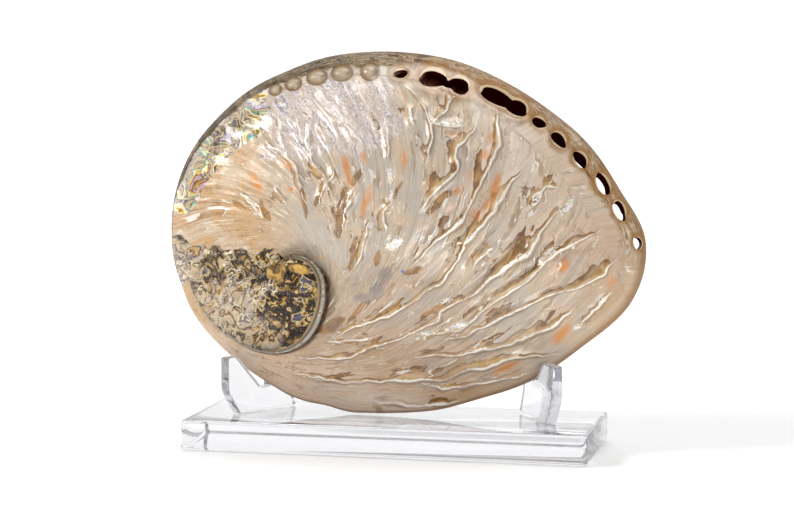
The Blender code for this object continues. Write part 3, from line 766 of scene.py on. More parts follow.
# %% Marks on the nacre
# Each mark: middle, half length, half width, slope of the length in degrees, and strength
ORANGE = (
    (25.2, 45, 7, 1.5, 98, 0.9), (30.8, 51.8, 4, 1.3, 100, 0.8), (32.6, 30.6, 5.6, 1.4, 80, 0.8),
    (-11.6, 39.4, 3.6, 1.5, 115, 0.8), (0, 46, 2.8, 1.8, 150, 0.6), (1.6, 36.8, 1.6, 1.3, 0, 0.7),
    (14, 60, 5.6, 1, 112, 0.4), (6, 64.8, 3.4, 1.2, 110, 0.4), (36.8, 63.4, 3, 1.3, 70, 0.5),
    (47.2, 73.6, 3.6, 0.9, 92, 0.7), (47.2, 48.4, 5.2, 1, 92, 0.7), (56.8, 39.2, 2.2, 1.9, 90, 0.55),
    (67.2, 58.6, 1.8, 1.2, 120, 0.5), (70.2, 36.4, 2.4, 1.6, 80, 0.8), (74, 42.6, 2, 1.4, 90, 0.55),
    (79.2, 49.6, 2.2, 2.2, 0, 0.6), (82.6, 56.6, 2.8, 1.1, 82, 0.7), (84.4, 38.6, 4.6, 1.4, 78, 0.9),
    (81.2, 30.6, 4, 1.2, 60, 0.7), (76.8, 26, 2.8, 1.8, 40, 0.75), (67, 27.4, 2.4, 1.8, 60, 0.4),
    (111.4, 5.2, 3.4, 1.8, 35, 1), (130.2, -1.4, 3.2, 1.7, 80, 0.6), (110.8, -21.2, 5, 1.5, 40, 0.9),
    (88.4, -35.2, 5.4, 1.6, 18, 0.7), (61, -45.6, 6, 1.4, 8, 0.35), (20, -45, 8, 1.3, 2, 0.3))
# Gold marks: patches of the nacre's gold-brown colour, some of them painted shade beside a bright patch
GOLD_AND_SHADE = (
    (22.8, 27.6, 9.6, 2, 80, 1), (28.8, 41.6, 5, 1.1, 60, 0.8), (7.4, 30, 6.4, 1, 100, 0.9),
    (13.6, 33.4, 4.6, 1.4, 62, 0.8), (61.8, 30.8, 7.6, 2, 47, 0.9), (68.6, 36, 2.2, 0.9, 70, 0.5),
    (98.6, 31.6, 2.8, 1.2, 60, 0.6), (26.4, 11.6, 7, 0.9, 76, 0.9), (30.4, -11.6, 6.4, 1.1, 42, 0.9),
    (37, 9.6, 4.4, 1.2, 78, 0.7), (-7.6, 28.6, 5.4, 1.1, 118, 0.9), (51.6, 4, 4.6, 1.6, 20, 0.7),
    (-17.8, 30, 3.4, 1.4, 150, 0.8), (46, 36, 4.6, 0.9, 70, 0.7), (19, -17.6, 6, 2.2, 28, 0.9),
    (14.6, -13, 4, 1.6, 50, 1), (57, -13.6, 4.4, 1.2, 35, 0.7), (70.6, 13.4, 4, 1, 50, 0.6))
# Glints: painted highlights where flat facets catch the light, near white with a play of colour
GLINT_HIGHLIGHTS = (
    (43.6, 15.8, 3.6, 2.3, 20, 1), (112.2, 29.4, 3.8, 1.5, 50, 0.9), (68, -19, 4.4, 1.1, 14, 0.9),
    (65.6, -7.8, 3.6, 1.2, 30, 0.8), (57, -21.2, 4.2, 1.1, 10, 0.7), (71.2, 5, 1.6, 1, 40, 0.6),
    (54.6, 17.2, 1.8, 1, 45, 0.9), (73.6, 17.2, 3.6, 1, 32, 0.8), (41.8, 41, 1.8, 4.4, 10, 0.8),
    (43.4, 33.6, 1.6, 3.4, -10, 0.7), (26.4, 66.4, 1.2, 7, -22, 0.6), (33, 60, 1.2, 6, -30, 0.5),
    (20, 73.6, 4, 1.2, -14, 0.7), (137.4, 4.4, 1.2, 2.4, 20, 0.6), (128, -8.6, 3.8, 0.9, 50, 0.8),
    (117.6, -18.4, 2.2, 1, 20, 0.9), (136.8, 4, 1, 1, 0, 0.8), (82, 37.8, 0.8, 4, -38, 0.4),
    (95.2, 39.8, 5, 0.8, 48, 0.6), (101.6, 18.4, 6, 0.8, 52, 0.5), (12, 74.6, 6, 1.4, 14, 0.5))
GREY_PATCH = (
    (40.6, 1.6, 3, 4.6, -12, 1), (37.4, -4, 3.2, 4, -40, 1), (31.4, -7.2, 4.6, 2.2, 18, 0.9),
    (59.2, 10.6, 4.6, 2.2, 60, 0.55), (72.4, 51, 5.4, 1.8, 55, 0.5), (88, 48.4, 5.6, 2.6, 60, 0.5),
    (110.6, 23.8, 4, 2.2, 20, 0.5), (21.2, 71.6, 1.6, 3.4, 12, 0.8), (17.6, 70, 3, 1.6, 20, 0.4))
BLUE_SPOT = (
    (46.8, 3.6, 1, 0.8, 0, 1), (65.8, 65.4, 1.2, 0.5, 20, 0.6), (87.4, 50.4, 0.9, 0.7, 0, 0.5))
AMBER = (
    (-3.6, 3.6, 3.8, 3.2, 30, 1), (5.4, 4.6, 5, 2, -14, 0.8), (12.4, -6, 1.3, 5, 10, 0.7),
    (-1, -9, 2.4, 1.4, 20, 0.6), (-18, -3, 3, 1.6, -20, 0.6), (4, -24, 5, 1.6, 12, 0.6))


def marked(places, marks):
    """The strength of the strongest mark at each place, falling off softly at its edge."""
    total = np.zeros(places.shape[:-1])
    for *oval, strength in marks:
        total = np.maximum(total, strength * (1.0 - smooth(0.1, 1.9, oval_ratio(places, [oval]))))
    return total


# %% Store the marks with the mesh
def vertex_points(mesh):
    """The mesh's points in millimetres."""
    flat = np.empty(len(mesh.vertices) * 3)
    mesh.vertices.foreach_get("co", flat)
    return flat.reshape(-1, 3) / MM


def store(mesh, name, *fields):
    """Three fields as one vector attribute."""
    layer = mesh.attributes.new(name, "FLOAT_VECTOR", "POINT")
    layer.data.foreach_set("vector", np.stack(fields, axis=-1).astype(np.float32).ravel())


AGE_UNIT = 10.0
BEARING_UNIT = 30.0
PLACE_UNIT = 100.0


def paint_shell(mesh):
    points = vertex_points(mesh)
    radius, angle, height = unplaced(points)
    share = radius / around(RIM_RADII, angle)
    depth = outer_height(np.clip(share, 0.0, 1.0), angle) - height
    places = seen(points)
    inside = inside_suture(radius, angle)
    age, bearing = growth_coordinates(places, inside)
    wavy = warped(places)
    _, signed, power = fold_fields(places)
    store(mesh, "growth", age / AGE_UNIT, bearing / BEARING_UNIT, share)
    store(mesh, "folds", signed, power, silver_zone(places))
    store(mesh, "marks", marked(wavy, ORANGE), marked(wavy, GOLD_AND_SHADE), marked(wavy, GLINT_HIGHLIGHTS))
    store(mesh, "zones", mottle_zone(places, radius, angle), lustre_zone(places), marked(wavy, GREY_PATCH))
    store(mesh, "holes", oval_ratio(places, PORES), oval_ratio(places, PEARLS), depth)
    store(mesh, "place", *(places / PLACE_UNIT).T, marked(places, BLUE_SPOT))
    edge_width = 2.6 - 1.8 * smooth(230.0, 300.0, turn_of(angle))
    band = (suture_radius(angle) - radius) / edge_width
    store(mesh, "coils", band, turn_of(angle) / 360.0, marked(places, AMBER))
    print("painted", len(points), "points")


paint_shell(shell.data)

# %% [markdown]
# ## Writing a finish as arithmetic
# A finish is a small program of nodes. Wrapping a socket in a class lets the arithmetic be written as
# Python, and one method makes any other node, with its settings first and its inputs after.

# %% The wrapper
class Wire:
    """A socket of a finish, whose arithmetic adds Math nodes."""

    def __init__(self, finish, socket):
        self.finish = finish
        self.socket = socket

    def math(self, operation, first, second):
        return self.finish.node("ShaderNodeMath", {"operation": operation}, {0: first, 1: second})

    def __add__(self, other):
        return self.math("ADD", self, other)

    __radd__ = __add__

    def __sub__(self, other):
        return self.math("SUBTRACT", self, other)

    def __rsub__(self, other):
        return self.math("SUBTRACT", other, self)

    def __mul__(self, other):
        return self.math("MULTIPLY", self, other)

    __rmul__ = __mul__

    def over(self, other):
        """The greater of two values."""
        return self.math("MAXIMUM", self, other)

    def away_from(self, level):
        """The distance from a level, whichever side it is on."""
        return (self - level).over(level - self)


class Finish:
    """A material and the nodes that make it."""

    def __init__(self, name):
        self.material = bpy.data.materials.new(name)
        self.material.use_nodes = True
        self.tree = self.material.node_tree
        self.tree.nodes.clear()

    def node(self, kind, settings=None, values=None, out=0):
        """One node: its settings, then values or wires for its sockets."""
        made = self.tree.nodes.new(kind)
        for key, value in (settings or {}).items():
            setattr(made, key, value)
        for key, value in (values or {}).items():
            if isinstance(value, Wire):
                self.tree.links.new(value.socket, made.inputs[key])
            else:
                made.inputs[key].default_value = value
        return Wire(self, made.outputs[out])

    def parts(self, vector):
        """The three numbers of a vector, as three wires."""
        split = self.node("ShaderNodeSeparateXYZ", None, {0: vector}).socket.node
        return [Wire(self, split.outputs[index]) for index in range(3)]

    def field(self, name):
        """The three numbers of a stored attribute."""
        return self.parts(self.node("ShaderNodeAttribute", {"attribute_name": name}, out="Vector"))

    def step(self, value, low, high):
        """0 below low and 1 above high, eased between; the other way round if low is above high."""
        if low > high:
            return 1.0 - self.step(value, high, low)
        limits = {0: value, 1: low, 2: high, 3: 0.0, 4: 1.0}
        return self.node("ShaderNodeMapRange", {"interpolation_type": "SMOOTHSTEP"}, limits)

    def vector(self, x, y, z):
        return self.node("ShaderNodeCombineXYZ", None, {0: x, 1: y, 2: z})

    def noise(self, vector, scale, detail=2.0, roughness=0.5, distortion=0.0):
        return self.node("ShaderNodeTexNoise", None, {
            "Vector": vector, "Scale": scale, "Detail": detail, "Roughness": roughness,
            "Distortion": distortion})

    def ramp(self, value, stops):
        """A colour for each value. A stop is its place, then red, green and blue as a screen shows them."""
        made = self.node("ShaderNodeValToRGB", None, {0: value})
        elements = made.socket.node.color_ramp.elements
        elements.remove(elements[-1])
        elements[0].position = stops[0][0]
        for place, *_ in stops[1:]:
            elements.new(place)
        for element, (_, *colour) in zip(elements, stops):
            element.color = (*srgb(*colour), 1.0)
        return made

    def mix(self, factor, first, second):
        """Two colours mixed; a plain colour is three numbers."""
        first, second = (value if isinstance(value, Wire) else (*value, 1.0) for value in (first, second))
        return self.node("ShaderNodeMix", {"data_type": "RGBA"}, {0: factor, 6: first, 7: second}, out=2)

    def coats(self, colour, *coats):
        """A colour under coats of others, each with the mask that says where it lies."""
        for mask, coat in coats:
            colour = self.mix(mask, colour, coat)
        return colour

    def end(self, shader, inside=None):
        """The material, with one shader as its surface and, for a clear piece, another as its inside."""
        output = self.tree.nodes.new("ShaderNodeOutputMaterial")
        self.tree.links.new(shader.socket, output.inputs["Surface"])
        if inside:
            self.tree.links.new(inside.socket, output.inputs["Volume"])
        return self.material


def srgb(red, green, blue):
    """A colour as a screen shows it, from 0 to 255, turned into the light that Blender counts."""
    return tuple((value / 255.0) ** 2.2 for value in (red, green, blue))


# %% [markdown]
# ## Nacre
# Polished nacre is pale, warm and glossy, with a hint of other colours. Its body is grey-beige with fine
# growth lines. Troughs hold a gold-brown colour deepened by painted shade, crests carry an almost white
# painted highlight, and the old coil is a mosaic of dark and gold.

# %% The nacre finish
PLATEAU = srgb(202, 180, 154)
PLATEAU_COOL = srgb(188, 176, 162)
PLATEAU_TAN = srgb(190, 154, 114)
PLATEAU_BEIGE = srgb(196, 160, 118)
PALE_LINE = srgb(226, 214, 198)
DARK_LINE = srgb(150, 122, 94)
HONEY = srgb(166, 122, 66)
HONEY_DARK = srgb(120, 82, 40)
CREST_HIGHLIGHT = srgb(252, 246, 234)
ORANGE_TINT = srgb(214, 132, 50)
PORE_SHADE = srgb(44, 9, 5)


def nacre():
    look = Finish("nacre")
    step, mix, coats, ramp = look.step, look.mix, look.coats, look.ramp
    noise, vector = look.noise, look.vector
    age, bearing, share = look.field("growth")
    fold, power, silver = look.field("folds")
    orange, gold_and_shade, glint_highlight = look.field("marks")
    mottle, lustre, grey = look.field("zones")
    pore, pearl, depth = look.field("holes")
    x, y, blue = look.field("place")
    band, turn, amber = look.field("coils")

    def grown(across, along, level, detail=2.0, roughness=0.5):
        """Noise that is fine across the growth lines and slow along them."""
        return noise(vector(age * across, bearing * along, level), 1.0, detail, roughness)

    def patchy(level, scale, detail=2.0, roughness=0.5, distortion=0.0):
        """Noise over the shell as it is seen, another one at each level."""
        return noise(vector(x, y, level), scale, detail, roughness, distortion)

    striae = grown(12.0, 1.6, 0.0, 4.0, 0.6)
    hairs = grown(40.0, 3.0, 5.0)
    streaks = grown(3.2, 1.3, 3.0)
    uneven = grown(2.6, 2.4, 9.0)
    cloud = patchy(0.0, 8.0, 3.0, 0.55, 0.6)
    drift = patchy(1.3, 22.0, 2.0, 0.5, 0.4)
    fine = patchy(0.0, 62.0, 3.0, 0.6, 0.5)
    grain = patchy(0.0, 150.0, 2.0, 0.6)
    ragged = (fine - 0.5) * 1.1
    streaky = streaks - 0.5
    cloudy = cloud - 0.5
    drifting = drift - 0.5

    # The pale body, tan to the right and along the bottom, beige at the left
    tan = step(y + x * 0.35, 0.10, -0.20).over(step(x, 0.85, 1.35))
    beige = step(x + y * 0.25, 0.14, -0.10) * step(cloud, 0.66, 0.42)
    upper_right = step(x, 0.60, 0.95) * step(y, 0.02, 0.26)
    lower_left = step(y + x * 0.3, -0.22, -0.36) * step(x, 0.75, 0.45)
    low_middle = step(x, 0.05, 0.25) * step(y, 0.12, -0.02) * step(y + x * 0.3, -0.30, -0.12)
    scribbles = step(fine + streaky * 0.8, 0.56, 0.64) * beige
    body = coats(
        mix(step(cloud, 0.40, 0.60), PLATEAU_COOL, PLATEAU),
        (tan * step(streaks, 0.70, 0.36) * 0.85, PLATEAU_TAN),
        (beige, PLATEAU_BEIGE),
        (upper_right.over(lower_left * 1.3) * 0.40, srgb(244, 220, 198)),
        (low_middle * 0.30 * step(x, 0.9, 0.6), srgb(140, 108, 86)),
        (scribbles * 0.45, srgb(150, 104, 60)),
        (step(striae, 0.50, 0.70) * 0.42, PALE_LINE),
        (step(striae, 0.47, 0.30) * 0.38, DARK_LINE),
        (step(hairs, 0.60, 0.74) * 0.25, DARK_LINE))

    # Wandering veins: the lines along which one level of a stretched noise is crossed. Each vein is painted
    # with a highlight and a brown line of painted shade beside it; the thin lines are brown in some places
    # and painted highlight in others
    veins = noise(vector(age * 2.4 + drift * 0.5, bearing * 1.1 + cloud * 0.8, 7.0), 1.0, 1.0, 0.5)
    calm = step(pearl, 1.0, 1.3) * step(share, 0.93, 0.90)
    here = step(patchy(2.2, 14.0), 0.44, 0.56) * calm
    vein = step(veins.away_from(0.5), 0.012, 0.003) * here
    vein_shade = step(veins, 0.575, 0.51) * step(veins, 0.500, 0.508) * here
    flat_parts = step(streaks, 0.56, 0.60) * step(veins, 0.62, 0.60) * step(veins, 0.500, 0.505) * calm
    lines = noise(vector(age * 5.2 + drift * 0.8, bearing * 1.7 + fine * 0.4, 11.0), 1.0, 2.0, 0.5)
    thin = step(lines.away_from(0.5), 0.012, 0.003) * calm * step(cloud, 0.42, 0.56)

    # Each fold: a painted highlight on the crest; an older side of gold colour deepened by painted shade,
    # ending in a brown line of painted shade; and painted shade on the newer side
    honey_and_shade = mix(step(drift, 0.40, 0.60), HONEY_DARK, HONEY)
    stretch = step(uneven, 0.38, 0.64) * 1.5 + 0.55
    wander = fold * stretch + drifting * 2.2 + ragged * 0.6
    strong = step(power, 0.15, 0.8)
    # The older side: the nacre's gold colour, darkened by painted shade out to a brown line
    slope = step(wander, 0.3, 0.8) * step(wander, 3.3, 2.9) * strong
    slope_honey_and_shade = mix(step(wander, 0.4, 2.0), srgb(204, 166, 104), honey_and_shade)
    brown_shade_line = step(wander, 2.5, 2.85) * step(wander, 3.4, 3.05) * strong
    lee = step(fold + ragged * 0.4, -2.0, -1.2) * step(fold + ragged * 0.3, -0.4, -0.8) * strong
    from_crest = (fold + ragged * 0.35).over(0.0 - fold - ragged * 0.35)
    crest_highlight = step(from_crest + streaky * 1.6 + (fine - 0.5) * 1.2, 0.46, 0.16)
    crest_highlight = crest_highlight * step(power, 0.05, 0.3)
    paint = coats(
        body,
        (flat_parts * 0.32, srgb(140, 108, 66)),
        (thin * 0.55, mix(step(drift, 0.46, 0.54), srgb(150, 112, 66), CREST_HIGHLIGHT)),
        (vein_shade * 0.5, srgb(146, 112, 74)),
        (slope * (0.95 - step(streaks, 0.44, 0.58) * 0.35), slope_honey_and_shade),
        (brown_shade_line * 0.75, srgb(108, 74, 40)),
        (lee * 0.55, srgb(128, 104, 78)),
        (step(gold_and_shade + ragged * 0.14, 0.36, 0.46) * 0.8, honey_and_shade),
        (step(orange + streaky * 0.6 + ragged * 0.12, 0.0, 1.0) * 0.9, ORANGE_TINT),
        (step(grey + ragged * 0.16, 0.42, 0.60) * grey * 0.8, srgb(134, 124, 122)),
        (vein * 0.7, CREST_HIGHLIGHT),
        (crest_highlight * 0.95, CREST_HIGHLIGHT),
        (step(blue, 0.4, 0.8) * 0.8, srgb(70, 96, 196)))

    # Bands of colour round slow hills of noise, as agate and abalone have them
    hills = patchy(0.2, 8.5, 3.0, 0.55, 1.6)
    play = ramp(hills, (
        (0.27, 52, 32, 20), (0.32, 168, 112, 30), (0.36, 242, 216, 84), (0.40, 246, 238, 206),
        (0.44, 206, 190, 208), (0.465, 60, 48, 42), (0.48, 212, 190, 150), (0.52, 150, 128, 92),
        (0.545, 50, 160, 170), (0.565, 226, 234, 170), (0.60, 222, 168, 60), (0.63, 70, 46, 26),
        (0.66, 216, 160, 172), (0.70, 128, 140, 150), (0.76, 34, 38, 42)))
    small = ramp(patchy(0.5, 30.0, 3.0, 0.6, 0.8), (
        (0.36, 26, 22, 20), (0.42, 110, 84, 50), (0.47, 176, 150, 112), (0.53, 220, 200, 168),
        (0.58, 120, 98, 70), (0.64, 40, 36, 36)))
    # The glints: painted highlights, near white with a play of colour
    glint_highlight_colour = mix(step(fine, 0.46, 0.58) * 0.8, (1.0, 0.97, 0.93), play)
    broken = (grain - 0.5) * 1.6 + ragged * 1.1 + (striae - 0.5) * 1.4
    crinkle = noise(vector(age * 3.6 + drift * 2.0, bearing * 1.7 + cloud * 3.0, 4.0), 1.0, 3.0, 0.6)
    # The crinkled silver patch: its own colour, with its brightest bands painted highlights
    silvery = ramp(crinkle, (
        (0.30, 70, 60, 58), (0.36, 190, 164, 140), (0.41, 226, 214, 206), (0.44, 160, 152, 158),
        (0.465, 212, 186, 166), (0.49, 198, 176, 152), (0.505, 250, 246, 240), (0.525, 152, 140, 140),
        (0.555, 208, 188, 184), (0.58, 244, 240, 236), (0.60, 132, 130, 150), (0.64, 206, 178, 150),
        (0.68, 110, 88, 66)))
    paint = coats(
        paint,
        (step(lustre + ragged * 0.4, 0.35, 0.5), mix(step(drift, 0.49, 0.57) * 0.9, play, small)),
        (step(glint_highlight + broken, 0.42, 0.64) * 0.9, glint_highlight_colour),
        (step(silver + ragged * 0.5, 0.3, 0.6) * (1.0 - crest_highlight) * 0.85, silvery))

    # The old coil: torn bands of black, gold, cream and violet-grey, with broader cream parts at the left,
    # and tiny pale spots that are painted glints
    flow = patchy(0.31, 9.0, 3.0, 0.6, 1.5)
    flakes = patchy(0.77, 21.0, 3.0, 0.55, 1.0)
    torn = flow * 0.5 + flakes * 0.5
    dark_mix = ramp(torn, (
        (0.33, 214, 204, 184), (0.375, 186, 142, 62), (0.41, 70, 46, 24), (0.435, 8, 5, 4),
        (0.462, 50, 38, 40), (0.48, 6, 4, 4), (0.505, 72, 48, 22), (0.54, 178, 142, 74),
        (0.56, 222, 206, 170), (0.575, 20, 14, 14), (0.61, 98, 92, 112), (0.64, 14, 12, 16),
        (0.69, 150, 116, 54)))
    pale_mix = ramp(torn, (
        (0.33, 24, 17, 15), (0.375, 140, 100, 56), (0.41, 224, 200, 156), (0.45, 176, 144, 104),
        (0.468, 30, 22, 20), (0.482, 90, 66, 42), (0.515, 214, 190, 152), (0.54, 232, 218, 192),
        (0.556, 48, 36, 34), (0.585, 138, 130, 144), (0.61, 196, 152, 80), (0.64, 26, 20, 20)))
    pillow = ramp(patchy(0.5, 6.5, 3.0, 0.55, 1.3), (
        (0.34, 180, 156, 124), (0.42, 206, 188, 160), (0.448, 186, 142, 76), (0.458, 18, 12, 11),
        (0.478, 110, 76, 38), (0.50, 204, 182, 148), (0.56, 176, 164, 158), (0.578, 28, 20, 18),
        (0.598, 190, 146, 80), (0.66, 212, 200, 180)))
    left_part = step(x + drifting * 0.4, -0.04, -0.16) * step(y + cloudy * 0.4, -0.34, -0.14)
    pillows = step(x * 0.75 + y * 0.65 + cloudy * 0.5, -0.15, -0.24) * step(drift, 0.44, 0.50)
    by_suture = step(band + drifting * 8.0, 4.0, 1.0) * step(band, -0.6, 0.0)
    by_edge = by_suture.over(step(share + drifting * 0.1, 0.94, 0.97)) * 0.8
    pale_share = (0.95 - step(cloud, 0.46, 0.58) * 0.75) * (1.0 - by_edge * 0.9)
    golden = mix(step(flakes, 0.42, 0.58), srgb(214, 170, 84), srgb(104, 74, 34))
    mosaic = coats(
        dark_mix,
        (left_part * pale_share, pale_mix),
        (pillows * (1.0 - by_edge) * 0.8, pillow),
        (step(amber + ragged * 0.4, 0.35, 0.6) * 0.85, golden),
        (step(grain, 0.63, 0.69) * 0.6, srgb(236, 224, 200)))

    # The seam, and the pale rounded edge of the old coil with a painted highlight along it
    seam_on = step(turn, 0.20, 0.40) * step(turn, 0.985, 0.90)
    edge = step(band, 0.02, 0.25) * step(band, 1.0, 0.85)
    line = step(band, 0.45, 0.55) * step(band, 0.72, 0.6)
    edge_highlight = step(band, 0.08, 0.2) * step(band, 0.46, 0.36) * step(streaks, 0.40, 0.50)
    pale_edge = coats(
        mix(striae, srgb(120, 98, 68), srgb(190, 174, 144)),
        (line * 0.7, srgb(80, 60, 38)),
        (edge_highlight * 0.85, srgb(214, 220, 218)))
    # Painted shade in the crevice just outside the seam, on its lower right
    crevice_shade = step(band, -0.75, -0.10) * step(band, 0.2, 0.02)
    lower_right = step(x - y, 0.02, 0.22)

    # The edge beyond the pores, with long lines that follow it
    long_lines = noise(vector(share * 36.0, turn * 24.0, drift), 1.0, 3.0, 0.6, 1.0)
    by_pearls = step(x, 0.62, 0.36) * step(y, 0.30, 0.50)
    beyond = share + drifting * 0.05 + ragged * 0.012 + by_pearls * 0.045
    flank = step(beyond, 0.925, 0.945)
    edge_dark = ramp(long_lines, (
        (0.36, 14, 10, 8), (0.42, 70, 52, 38), (0.455, 158, 136, 106), (0.475, 30, 21, 16),
        (0.505, 112, 94, 76), (0.53, 204, 182, 146), (0.55, 38, 28, 22), (0.59, 132, 112, 88),
        (0.63, 20, 14, 12), (0.68, 168, 146, 118)))
    edge_pale = ramp(long_lines, (
        (0.34, 80, 54, 32), (0.42, 150, 118, 84), (0.46, 212, 190, 158), (0.485, 96, 70, 46),
        (0.52, 186, 160, 128), (0.56, 222, 204, 176), (0.59, 110, 82, 54), (0.66, 206, 186, 158)))
    edge_band = coats(
        edge_pale,
        (step(x + drifting * 0.3, 0.75, 0.20), edge_dark),
        (step(x, 0.35, -0.15) * step(streaks, 0.62, 0.44) * 0.6, srgb(38, 28, 22)))
    outline = step(share + drifting * 0.04, 0.955, 0.972) * step(x, -0.24, -0.34) * step(y, -0.14, 0.0)

    # Pearls with a painted highlight in the middle and painted shade towards their edge, and pores
    pearl_shading = ramp(pearl, (
        (0.0, 198, 182, 160), (0.5, 178, 158, 132), (0.78, 154, 130, 98), (0.95, 142, 114, 80),
        (1.0, 120, 92, 62)))
    margin = mix(step(pore + ragged * 0.15, 1.03, 1.08), srgb(206, 180, 142), srgb(156, 112, 62))
    # The pore walls are painted dark as shade, darker the deeper they go
    hole = step(pore, 1.45, 1.30) * step(depth, 0.35, 0.7)
    pore_shade = mix(step(depth, 0.4, 1.2), srgb(96, 50, 26), PORE_SHADE)
    paint = coats(
        paint,
        (step(mottle + drifting * 1.2 + ragged * 0.4, 0.35, 0.5), mosaic),
        (edge * seam_on, pale_edge),
        (crevice_shade * seam_on * lower_right * 0.75, srgb(74, 46, 24)),
        (outline * 0.8, dark_mix),
        (flank * step(y, 0.00, 0.25) * 0.95, edge_band),
        (step(share, 0.975, 0.995) * 0.7, srgb(140, 104, 70)),
        (step(pearl, 1.30, 1.05), pearl_shading),
        (step(pore + ragged * 0.5 + streaky * 1.2, 2.10, 1.10) * 0.85, margin),
        (hole, pore_shade))

    # The inner face: bands of silver, rose, green and blue, and dark red-brown painted shade behind the
    # pores
    inner = ramp(patchy(0.7, 3.6, 3.0, 0.55, 1.2), (
        (0.30, 140, 176, 170), (0.37, 206, 206, 186), (0.42, 222, 184, 186), (0.46, 170, 198, 196),
        (0.50, 222, 216, 204), (0.54, 166, 180, 206), (0.58, 222, 190, 196), (0.63, 172, 204, 176),
        (0.70, 222, 212, 176)))
    shade_reach = share + cloudy * 0.10 + streaky * 0.10
    by_pores = step(x + drifting * 0.2, 0.22, 0.42) * step(y + drifting * 0.2, -0.02, 0.16)
    # Painted shade where the pores look through to the inner face
    behind = step(shade_reach, 0.80, 0.88) * by_pores
    inner = coats(
        inner,
        (step(striae, 0.46, 0.62) * 0.35, srgb(240, 236, 230)),
        (behind, mix(step(shade_reach, 0.84, 0.90), srgb(120, 74, 50), PORE_SHADE)))
    outer_side = step(depth, 2.2, 0.9)
    paint = mix(outer_side, inner, paint)

    # Relief and gloss: crests, glints and veins are the shiniest; holes, edge and mottled coil the dullest
    in_mottle = step(mottle, 0.3, 0.6)
    parts = (flow * 2.2 + flakes * 1.2) * in_mottle + hills * lustre * 1.6
    relief = striae * 0.12 + streaks * 0.5 + fine * 0.20 + vein * 0.25 + drift * 0.8
    bump = look.node("ShaderNodeBump", None, {
        "Strength": 0.6, "Distance": 0.0006, "Height": relief * outer_side + parts})
    shiny = crest_highlight.over(step(glint_highlight, 0.3, 0.6)).over(in_mottle * 0.6).over(lustre * 0.3).over(vein * 0.6)
    roughness = 0.36 - shiny * 0.22 + (striae - 0.5) * 0.10
    polished = look.node("ShaderNodeBsdfPrincipled", None, {
        "Base Color": paint, "Metallic": 0.12, "Roughness": roughness, "Normal": bump, "IOR": 1.6,
        "Coat Weight": 0.4 - in_mottle * 0.3 - lustre * 0.3, "Coat Roughness": 0.05, "Coat IOR": 1.5})
    plain = look.node("ShaderNodeBsdfPrincipled", None, {
        "Base Color": paint, "Roughness": 0.6, "Specular IOR Level": 0.0, "Normal": bump})
    dull = hole.over(behind * (1.0 - outer_side))
    at_left = step(x + y * 0.1, 0.18, -0.06) * (1.0 - in_mottle) * (1.0 - lustre)
    unpolished = dull.over(flank * 0.8).over(at_left * 0.75).over(in_mottle * outer_side * 0.35)
    return look.end(look.node("ShaderNodeMixShader", None, {0: unpolished, 1: polished, 2: plain}))


shell.data.materials.clear()
shell.data.materials.append(nacre())
SHELL_SHARPEST = 52.0
shaded(shell.data, SHELL_SHARPEST)
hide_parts("shell")
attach(shell, "root")
print("nacre has", len(shell.data.materials[0].node_tree.nodes), "nodes")

# %% [markdown]
# ## The clear stand
# The stand is cut from clear acrylic sheet and polished: a slab with softened edges, and two hooked plates
# glued on it. A bright rounded edge is what makes clear plastic visible, so every edge is bevelled finely.

# %% Sizes of the stand
TOUCHING_GAP = 0.3
SLAB_LENGTH = 162.0
SLAB_DEPTH = 60.0
SLAB_HEIGHT = 12.0
SLAB_CORNER_RADIUS = 2.4
SLAB_EDGE_CHAMFER = 1.2
EDGE_ROWS = 5
CORNER_STEPS = 10
PLATE_THICKNESS = 4.5
PLATE_BEVEL = 0.45
BEVEL_STEPS = 3
BEVEL_FROM = 35.0
PLATE_SHARPEST = 30.0
SLAB_SHARPEST = 40.0
BRACKET_TURN = 29.0
FOOT_LENGTH = 32.0
HOOK_HEIGHT = 23.5
HOOK_BULGE = 6.5
ARM_HEIGHT = 40.0
ARM_WIDTH = 6.5
LEFT_FOOT = (-63.5, -10.0)
LEFT_HOOK_BACK = -1.5
LEFT_NOTCH = (12.5, 9.6)
LEFT_ARM_AT = 18.0
RIGHT_FOOT = (63.5, -6.0)
RIGHT_HOOK_BACK = 4.5
RIGHT_NOTCH = (13.4, 15.2)
RIGHT_ARM_AT = 16.6


# %% The acrylic finish
def acrylic(name, surface, density):
    """A clear plastic: the share of light each face lets through, and how fast its inside takes light
    away."""
    look = Finish(name)
    shader = look.node("ShaderNodeBsdfPrincipled", None, {
        "Base Color": (surface, surface, surface + 0.01, 1.0), "Roughness": 0.0, "Transmission Weight": 1.0,
        "IOR": 1.49})
    inside = look.node("ShaderNodeVolumeAbsorption", None, {
        "Color": (0.80, 0.80, 0.82, 1.0), "Density": density})
    return look.end(shader, inside)


clear = acrylic("clear_acrylic", surface=0.95, density=12.0)
clear_plate = acrylic("clear_acrylic_plate", surface=0.86, density=45.0)


def bevelled(piece, width, segments):
    """A fine bevel on every edge that turns sharply, applied."""
    modifier = piece.modifiers.new("edges", "BEVEL")
    modifier.width = width * MM
    modifier.segments = segments
    modifier.limit_method = "ANGLE"
    modifier.angle_limit = math.radians(BEVEL_FROM)
    shaded(applied(piece).data, PLATE_SHARPEST)
    return piece


